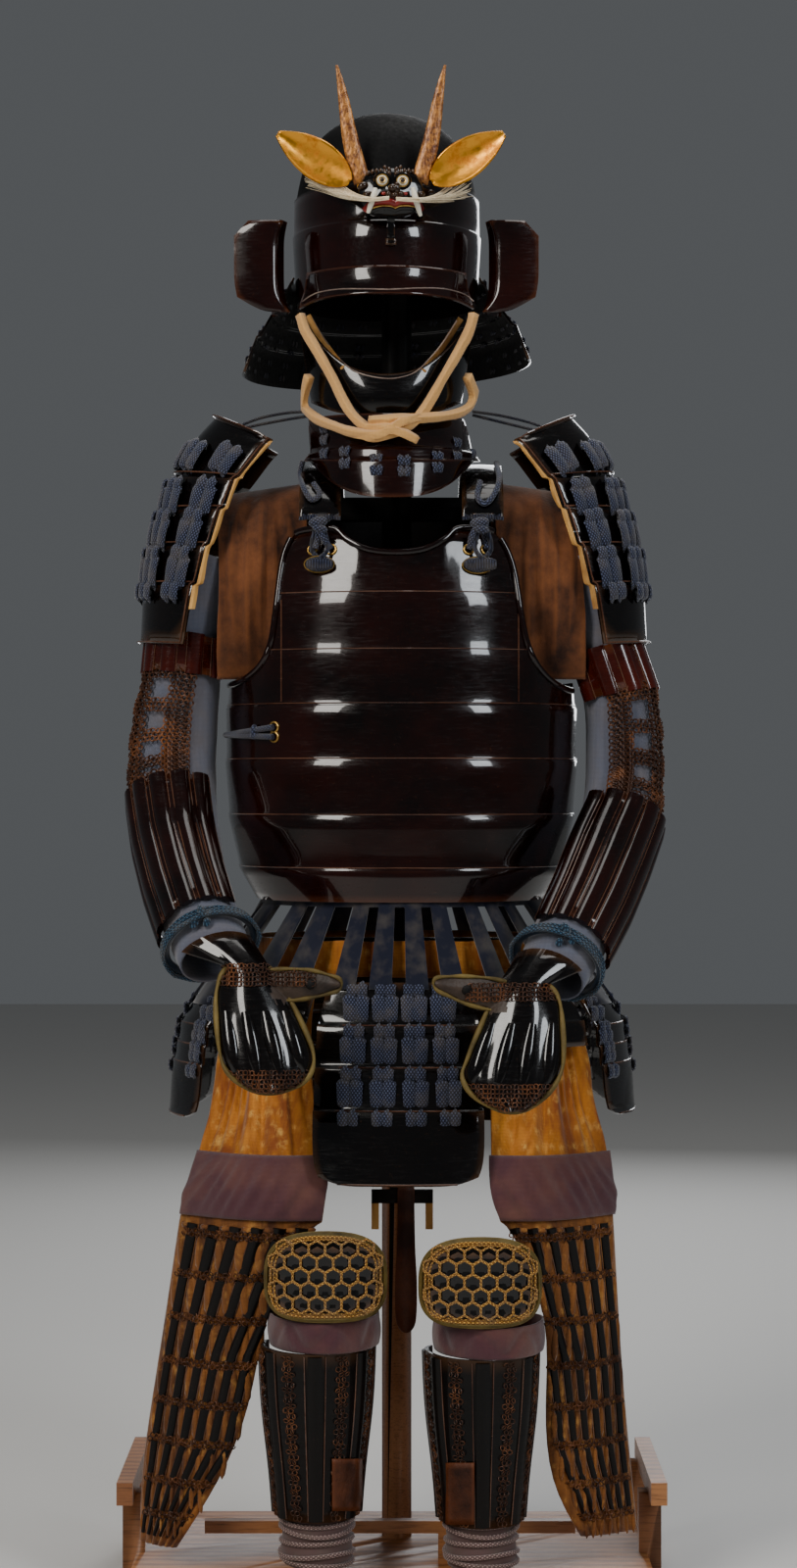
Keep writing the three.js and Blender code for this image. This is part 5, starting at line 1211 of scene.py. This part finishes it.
KNEE_CLOTH = cloth("knee_pad_cloth", rgb(66, 48, 24), rgb(150, 112, 56), 0.0016, rgb(112, 84, 40))
LEG = {"left": (-78, -67.5, 0), "right": (93, 90.5, -6)}
KNEE_HALF, KNEE_LOW, KNEE_HIGH, KNEE_Y, KNEE_BOW, KNEE_PITCH = 60, 310, 399, -254, 22, 16.6
HEX_ROWS = (6, 7, 6, 7, 6)
CELL_WALL = ((1.0, 2.9), (0.86, 0.7), (0.5, 0.2), (0.02, 0.1))
CELL_CORD, CELL_RIM, CELL_INNER = 0.0013, 0.96, 0.93
# Two cords round the pad: how far out each lies, and its radius. The pad is rounder at its top.
PAD_CORDS, TOP_POWER, LOW_POWER = ((0.93, 0.0016), (0.87, 0.0012)), 2.6, 5


def knee_place(side, x, z, out):
    y = KNEE_Y + KNEE_BOW * (x / KNEE_HALF) ** 2 - out + 0.12 * (KNEE_HIGH - z)
    return at(LEG[side][1] + x, y, z + LEG[side][2])


def hexagon(side, x, z, size, out):
    corners = [math.radians(n * 60 + 30) for n in range(6)]
    return [knee_place(side, x + size * math.cos(a), z + size * math.sin(a), out) for a in corners]


for side in SIDES:
    wires, wells, pad, rim = Heap(), Heap(), Heap(), Heap()
    radius = KNEE_PITCH / math.sqrt(3)
    for row, count in enumerate(HEX_ROWS):
        z = KNEE_LOW + 15.5 + row * radius * 1.5
        for k in range(count):
            x = (k - (count - 1) / 2) * KNEE_PITCH
            wires.tube(hexagon(side, x, z, radius * CELL_RIM, 3.4), CELL_CORD, 6, True)
            # Each cell: a dark six-sided hollow with a low sloping wall.
            size = radius * CELL_INNER
            wells.grid([hexagon(side, x, z, size * share, deep) for share, deep in CELL_WALL], True)
    wires.build(f"knee_cell_cords_{side}", GOLD_CORD, "gold")
    wells.build(f"knee_cell_plates_{side}", IRON, "matt_lacquer")
    outline = []
    for a in circle(48):
        c, s = math.cos(a), math.sin(a)
        power = TOP_POWER if s > 0 else LOW_POWER
        grow = (abs(c) ** power + abs(s) ** power) ** (-1 / power)
        outline.append((KNEE_HALF * c * grow, (KNEE_HIGH - KNEE_LOW) / 2 * s * grow))
    middle_z = (KNEE_LOW + KNEE_HIGH) / 2
    rows = []
    for n in range(9):
        share = 0.02 + 0.98 * n / 8
        out = -1.4 - 1.2 * share**6
        rows.append([knee_place(side, x * share, middle_z + z * share, out) for x, z in outline])
    pad.grid(rows, True, True)
    pad.build(f"knee_pad_cloth_{side}", KNEE_CLOTH, "leather")
    for share, thick in PAD_CORDS:
        line = [knee_place(side, x * share, middle_z + z * share, 1.0) for x, z in outline]
        rim.tube(line, thick, 6, True)
    rim.build(f"knee_rim_cords_{side}", GOLD_CORD, "leather")

SHIN_AXIS_Y, SHIN_START, SHIN_END, SHIN_BARS = -162, -205, 25, 5
ANKLE_TURNS, ANKLE_POINTS, ANKLE_CORD = (92, 82, 70, 58, 50), 40, 0.0026
LEATHER_PATCH = {"left": (338, 367, 1488, 1547), "right": (456, 485, 1492, 1562)}
for side in SIDES:
    tree = tree_of(SURFACES[f"shin_guard_{side}"])
    axis = (LEG[side][0], SHIN_AXIS_Y)
    bars, mail, edges = Heap(), Heap(), Heap()
    heights = [z + LEG[side][2] for z in spread(271, 98, 13)]
    for k in range(SHIN_BARS):
        degree = mix(SHIN_START, SHIN_END, (3 * k + 1.5) / (3 * SHIN_BARS))
        for shift, heap, thick, flat, out in (
            (0, bars, 0.0075, BAR_FLAT, 0.0002), (-8.2, edges, 0.0007, 1, 0.001),
            (8.2, edges, 0.0007, 1, 0.001),
        ):
            hits = [round_about(tree, axis, z, [degree + shift], out)[0] for z in heights]
            path = [h[0] for h in hits if h]
            if len(path) > 3:
                lift = (math.cos(math.radians(degree)), math.sin(math.radians(degree)), 0)
                heap.tube(path, thick, 9 if flat < 1 else 5, flat=flat, up=lift)
    for k in range(SHIN_BARS + 1):
        for shift in (-2.8, 2.8):
            degree = mix(SHIN_START, SHIN_END, min(0.99, max(0.01, k / SHIN_BARS))) + shift
            for n, z in enumerate(spread(268, 100, 32)):
                around = [degree + (1.4 if n % 2 else -1.4)]
                hit = round_about(tree, axis, z + LEG[side][2], around, 0.0011)[0]
                if hit:
                    chain_ring(mail, hit, "shin", n, n)
    bars.build(f"shin_splint_bars_{side}", DULL_LACQUER, "lacquer")
    # Pale lines along the splint edges: painted highlight and wear.
    edges.build(f"shin_splint_edges_{side}", WORN_AND_HIGHLIGHT_EDGE, "lacquer")
    mail.build(f"shin_mail_{side}", CHAIN, "lacquer")

    patch = Heap()
    left, right, top, low = LEATHER_PATCH[side]
    both = tree_of(SURFACES[f"shin_guard_{side}"], bpy.data.objects[f"shin_splint_bars_{side}"])
    rows = []
    for py in spread(top, low, 11):
        hits = [seen(both, px, py, 0.0012) for px in spread(left, right, 9)]
        if None not in hits:
            rows.append([hit[0] for hit in hits])
    patch.grid(rows)
    piece = patch.build(f"shin_leather_{side}", LEATHER, "leather")
    piece.modifiers.new("thick", "SOLIDIFY").thickness = 0.0016
    applied(piece)

    ankle = Heap()
    tie = tree_of(SURFACES[f"ankle_tie_{side}"])
    for turn, z in enumerate(ANKLE_TURNS):
        degrees = [360 * k / ANKLE_POINTS for k in range(ANKLE_POINTS)]
        hits = round_about(tie, axis, z, degrees)
        path = []
        for k, hit in enumerate(hits):
            if hit:
                point = hit[0] + hit[1] * 0.0012
                point.z += 0.0024 * math.sin(math.radians(degrees[k] * (1 + turn % 2) + 70 * turn))
                path.append(point)
        if len(path) > 30:
            ankle.tube(path, ANKLE_CORD, 7, True)
    ankle.build(f"ankle_turns_{side}", PINK_CORD, "lacing")

# The stand's upper post and bars are blackened, so that they don't show through the suit: the black is
# painted shade for the suit's dark inside.
stand = SURFACES["stand"]
stand.data.materials.append(IRON)
POST_TOP, POST_LOW, POST_HALF = 0.66, 0.5, 0.04
for face in stand.data.polygons:
    if face.center.z > POST_TOP or (face.center.z > POST_LOW and abs(face.center.x) < POST_HALF):
        face.material_index = 1


# Head: plate paint, beast face, whiskers, rims.


# The polished plate ends and the matt dome begins between these heights.
PLATE_TOP, DOME_LOW = 1.486, 1.492


def helmet_paint():
    """Matt black dome over a polished red-brown plate, parted at the crest's height."""
    p = Paint("helmet_lacquer", Coat_Roughness=0.05, Coat_IOR=1.5, Specular_IOR_Level=0.15)
    height = p.node("SeparateXYZ", {0: p.place()}).outputs["Z"]
    polished = p.node("MapRange", {"Value": height, "From Min": DOME_LOW, "From Max": PLATE_TOP}).outputs[0]
    patches = p.ramp(p.noise(9, 5, 0.6), (0.35, rgb(20, 7, 5)), (0.72, rgb(44, 15, 10)))
    pits = p.noise(240, 4, 0.65)
    swell = p.bump(p.noise(24, 2), 0.0012, 0.3)
    p.feed(Coat_Weight=p.maths("MULTIPLY", polished, 0.85), Coat_Normal=swell)
    rough = p.mix(polished, p.ramp(pits, (0.3, 0.55), (0.8, 0.85)), p.ramp(pits, (0.3, 0.12), (0.8, 0.32)))
    return p.feed(Base_Color=p.mix(polished, rgb(7, 6, 7), patches), Roughness=rough,
                  Normal=p.bump(pits, 0.0002, 0.5, swell))


def strand(tree, pixels, out, depth):
    """A curve over a surface through pixels of the photo; where it leaves the surface it keeps its depth."""
    points = []
    for px, py in pixels:
        hit = seen(tree, px, py, out)
        if hit:
            depth = (hit[0].y - at(0, 0, 0).y) / MM
        points.append(hit[0] if hit else sight(px, py, depth))
    return smooth_path(points, 5)


def shade_inner_faces(piece, paint, centre):
    """Gives the faces that look towards an upright axis a plain dark paint: painted shade inside the shells.
    """
    piece.data.materials.append(paint)
    index = len(piece.data.materials) - 1
    middle = at(*centre, 0)
    for face in piece.data.polygons:
        way = face.center - middle
        way.z = 0
        if face.normal.dot(way) < 0 and abs(face.normal.z) < 0.8:
            face.material_index = index


SURFACES["helmet_bowl"].data.materials[0] = helmet_paint()
# The insides of the helmet, guards and body are painted dark: painted shade.
for name, centre in (("helmet_bowl", (-6, 60)), ("neck_guard", NECK_AXIS), ("face_guard", (-6, 30)),
                     ("throat_guard", (0, 20)), ("body_front", BODY_AXIS), ("body_back", BODY_AXIS)):
    shade_inner_faces(SURFACES[name], IRON, centre)

FACE_Y = -104
face_tree = tree_of(SURFACES["crest_face"])


def on_face(px, py, out=0.0):
    hit = seen(face_tree, px, py, out * MM)
    return hit[0] if hit else sight(px, py, FACE_Y - out)


EYES = ((390, 184.5), (410.5, 185))
BROW_ENDS, BROW_TOP = ((376, 397), (404, 425)), 177.5
whites, golds, blacks, reds = Heap(), Heap(), Heap(), Heap()
for px, py in EYES:
    eye = on_face(px, py, 1.2)
    whites.bead(eye, FRONT, (1, 0, 0), 0.0118, 0.0108, 0.0038, 18, 5)
    golds.ring(eye, FRONT, 0.0060, 0.0011, 20, 6)
    golds.ring(eye + FRONT * 0.0034, FRONT, 0.0031, 0.0006, 16, 5)
    blacks.bead(eye + FRONT * 0.0032, FRONT, (1, 0, 0), 0.0050, 0.0050, 0.0013, 12, 3)
    blacks.ring(eye, FRONT, 0.0078, 0.0015, 20, 6)
for first, last in BROW_ENDS:
    for row in range(2):
        for k in range(6):
            t = k / 5
            spot = on_face(mix(first, last, t), BROW_TOP - 2.5 * math.sin(math.pi * t) - 4 * row, 1.0)
            blacks.bead(spot, FRONT, (0.4 - t, 0, 1), 0.0058, 0.0042, 0.0034, 8, 3)
# Lumps: a pixel of the photo, then width, height and (on the nose) thickness in mm.
NOSE = (
    (400.5, 192, 10, 9, 5), (404.5, 192, 8, 14, 5), (396.5, 198, 8, 7, 5), (408.5, 198, 8, 7, 5),
    (402.5, 199, 10, 7, 6),
)
SNOUT = (
    (370, 190, 13, 9), (365, 197, 11, 8), (375, 199, 12, 8), (434, 190, 13, 9), (439, 197, 11, 8),
    (428, 199, 12, 8),
)
for px, py, long, wide, high in NOSE:
    blacks.bead(on_face(px, py, 0.5), FRONT, (1, 0, 0), long * MM, wide * MM, high * MM, 12, 4)
for px, py, long, wide in SNOUT:
    blacks.bead(on_face(px, py, 0.2), FRONT, (1, 0, 0.3), long * MM, wide * MM, 0.006, 12, 4)
MOUTH = (
    (373, 214), (379, 208), (388, 205), (398, 205), (403, 207), (408, 205), (418, 205), (426, 208),
    (431, 214),
)
NOSTRILS = ((392, 197.5), (413, 198))
reds.tube(smooth_path([on_face(px, py, 1.6) for px, py in MOUTH], 5), 0.0036, 8, flat=0.6)
for px, py in NOSTRILS:
    reds.bead(on_face(px, py, 1.4), FRONT, (1, 0, 0), 0.006, 0.004, 0.002, 8, 3)
for row, drop in enumerate((4.6, 7.0)):
    lips = blacks if row else golds
    lips.tube(smooth_path([on_face(px, py + drop, 1.8) for px, py in MOUTH], 5), 0.0009 + 0.0014 * row, 6)
TUSKS = (((386, 192), (383, 203), (378.5, 214)), ((418.5, 193), (421, 204), (424, 215)))
for line in TUSKS:
    path = smooth_path([on_face(px, py, 9) for px, py in line], 6)
    whites.tube(path, lambda s: 0.0013 + 0.0019 * math.sin(math.pi * (0.15 + 0.75 * s)), 8, flat=0.8)
# Lobes of black lacquer that carry the ears.
LOBES = (((376, 188), (366, 184), (357, 178), (350, 171)), ((429, 188), (440, 184), (449, 178), (456, 171)))
for line in LOBES:
    blacks.tube(smooth_path([sight(px, py, FACE_Y + 4) for px, py in line], 5),
                lambda s: 0.0046 + 0.0028 * math.sin(math.pi * s), 10, flat=0.7)
whites.build("beast_eyes_and_tusks", WHITE, "horn")
golds.build("beast_gilt_lines", BRASS, "gold")
blacks.build("beast_lacquer_relief", BLACK_LACQUER, "lacquer")
reds.build("beast_mouth", RED_MOUTH, "lacquer")

WHISKERS = {
    # root, bends and tip in the photo, then the spread of the ends in pixels
    "left": (((397, 202), (375, 203.5), (352, 200), (332, 192), (315, 184.5)), 4.5),
    "right": (((404, 203), (428, 204), (446, 203.5), (462, 201), (478, 195)), 8.5),
}
HAIRS, HAIR_RADIUS = 64, 0.00062
for side in SIDES:
    line, fan = WHISKERS[side]
    hairs = Heap()
    for _ in range(HAIRS):
        lift, near, tip = random.uniform(-1, 1), random.uniform(-1, 1), random.uniform(0.72, 1.06)
        curl = random.uniform(-1, 1)
        points = []
        root = (on_face(*line[0], 5).y - at(0, 0, 0).y) / MM
        for n, (px, py) in enumerate(line):
            s = n / (len(line) - 1)
            offset = lift * (1.5 + 1.3 * s) + curl * fan * s**3
            x = mix(line[0][0], px, tip if n else 1)
            depth = mix(root - 4, FACE_Y, max(0, (s - 0.3) / 0.7)) + near * (1.4 + 2.5 * s)
            points.append(sight(x, py + offset, depth))
        hairs.tube(smooth_path(points, 4), lambda s: HAIR_RADIUS * (1 - 0.7 * s), 4)
    hairs.build(f"whisker_hairs_{side}", HAIR, "hair", [f"crest_whiskers_{side}"])

# Thin bright rims along the brow and the face guard's opening.
BRIGHT_RIM = satin_iron("bright_rim", rgb(120, 104, 96), rgb(188, 168, 150), 0.3)
BROW = (
    (309, 309), (317, 303.5), (327, 299.5), (347, 296.6), (372, 296.4), (398, 296.8), (426, 295.6),
    (451, 296.2), (467, 299.5), (477, 304), (483, 309),
)
CHEEK = (
    (318, 322), (327, 338), (342, 359), (352, 369.5), (363, 377.5), (383, 383), (403, 384), (423, 378),
    (438, 364), (452, 347), (466, 325),
)
CHEEK_LINING = (
    ((314, 322), (324, 340), (338, 360), (350, 375)), ((470, 325), (456, 347), (443, 366), (432, 378)),
)
rims = Heap()
for name, line, drop, depth in (("helmet_peak", BROW, -1.5, -70), ("face_guard", CHEEK, 2.0, -40)):
    tree = tree_of(SURFACES[name])
    rims.tube(strand(tree, [(px, py + drop) for px, py in line], 0.0002, depth), 0.0007, 6)
rims.build("head_rims", BRIGHT_RIM, "lacquer")
# Tan leather lining that shows along the cheeks' inner edges.
lining = Heap()
face_guard_tree = tree_of(SURFACES["face_guard"])
for line in CHEEK_LINING:
    lining.tube(strand(face_guard_tree, line, 0.0006, -40), 0.0034, 8, flat=0.4)
lining.build("face_guard_lining", TAN_EDGE, "leather")

# Shoulder straps: lacquer plate above, navy cords, knots and oval pads below.
STRAP_PLATE_LOW = 1139
KNOTS = {
    # knot, its two eyelets, the pad, the loop above
    "left": ((325, 533), ((319, 561), (338, 561)), (327, 577),
             ((309, 470), (306, 484), (310, 500), (318, 512), (326, 506), (320, 496))),
    "right": ((490, 534), ((478, 561), (495, 561)), (486, 578),
              ((506, 476), (509, 492), (503, 508), (494, 516), (487, 508), (490, 494))),
}
for side in SIDES:
    strap = SURFACES[f"shoulder_strap_{side}"]
    strap.data.materials.append(NAVY_PAD)
    for face in strap.data.polygons:
        if face.center.z < STRAP_PLATE_LOW * MM and face.center.y < 0:
            face.material_index = 1
    tree = tree_of(strap, SURFACES["body_front"])
    knot, eyes, pad, loop = KNOTS[side]
    cords, gold = Heap(), Heap()
    top = seen(tree, *knot, 0.004)
    cords.bead(top[0], FRONT, (1, 0, 0.15), 0.021, 0.012, 0.007, 12, 4)
    cords.bead(top[0] + Vector((0.002, -0.002, -0.007)), FRONT, (1, 0, -0.2), 0.017, 0.009, 0.006, 12, 4)
    for px, py in eyes:
        path = strand(tree, (knot, mix(Vector(knot), Vector((px, py)), 0.5), (px, py)), 0.0038, -60)
        cords.tube(path, 0.0034, 8, flat=0.75)
    cords.tube(strand(tree, loop, 0.0036, -66), 0.0030, 8)
    spot = seen(BODY_TREE["body_front"], *pad, 0.0042)
    cushion = Heap()
    cushion.bead(spot[0], spot[1], (1, 0, 0), 0.031, 0.0165, 0.006, 24, 5)
    cushion.build(f"chest_pad_{side}", NAVY_PAD, "lacing")
    oval = [spot[0] + Vector((0.0158 * math.cos(a), -0.0004, 0.0086 * math.sin(a))) for a in circle(28)]
    gold.tube(oval, 0.0009, 6, True)
    cords.build(f"strap_cords_{side}", LACING, "lacing")
    gold.build(f"chest_pad_rim_{side}", BRASS, "gold")

# Thin stays from the throat guard's ends to the tops of the shoulder guards.
STAYS = {
    "left": ((322, 420), (296, 421), (268, 426), (248, 433)),
    "right": ((482, 420), (510, 424), (540, 431), (562, 439)),
}
for side in SIDES:
    stays = Heap()
    for drop, depth in ((0, -30), (3.5, -24)):
        line = [sight(px, py + drop * (1 + math.sin(n)), mix(depth, -10, n / 3))
                for n, (px, py) in enumerate(STAYS[side])]
        stays.tube(smooth_path(line, 6), 0.0016, 6)
    stays.build(f"shoulder_stays_{side}", THIN_CORD, "lacing")

# The hip bar's cord ends are tan.
stand.data.materials.append(TAN_EDGE)
HOOK_LOW, HOOK_TOP, BAR_TOP, BAR_MIDDLE = 355, 398, 445, 8
for face in stand.data.polygons:
    c = (face.center - SHIFT) / MM
    aside = abs(c.x - BAR_MIDDLE)
    if HOOK_LOW < c.z < HOOK_TOP and 20 < aside < 52:
        face.material_index = 2
    elif HOOK_TOP <= c.z < BAR_TOP and aside < 60:
        face.material_index = 1


# The cloth pieces, listed; the loops below do nothing with them.

SHEETS = (
    # node, width and length of the cut in metres, how it is held, what it rests on
    ("shoulder_cloth", (0.20, 0.26), "draped", "stand"),
    ("sleeve", (0.32, 0.47), "hung", "stand"),
    ("thigh_cloth", (0.165, 0.235), "hung", "thigh_belt"),
    ("thigh_band", (0.18, 0.066), "stretched", "thigh_cloth"),
    ("thigh_splints", (0.14, 0.36), "hung", "thigh_band"),
    ("knee_tie", (0.40, 0.034), "stretched", "shin_guard"),
)
for node, flat, held, under in SHEETS:
    for side in SIDES:
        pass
for side in SIDES:
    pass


# The end.

bpy.context.view_layer.update()
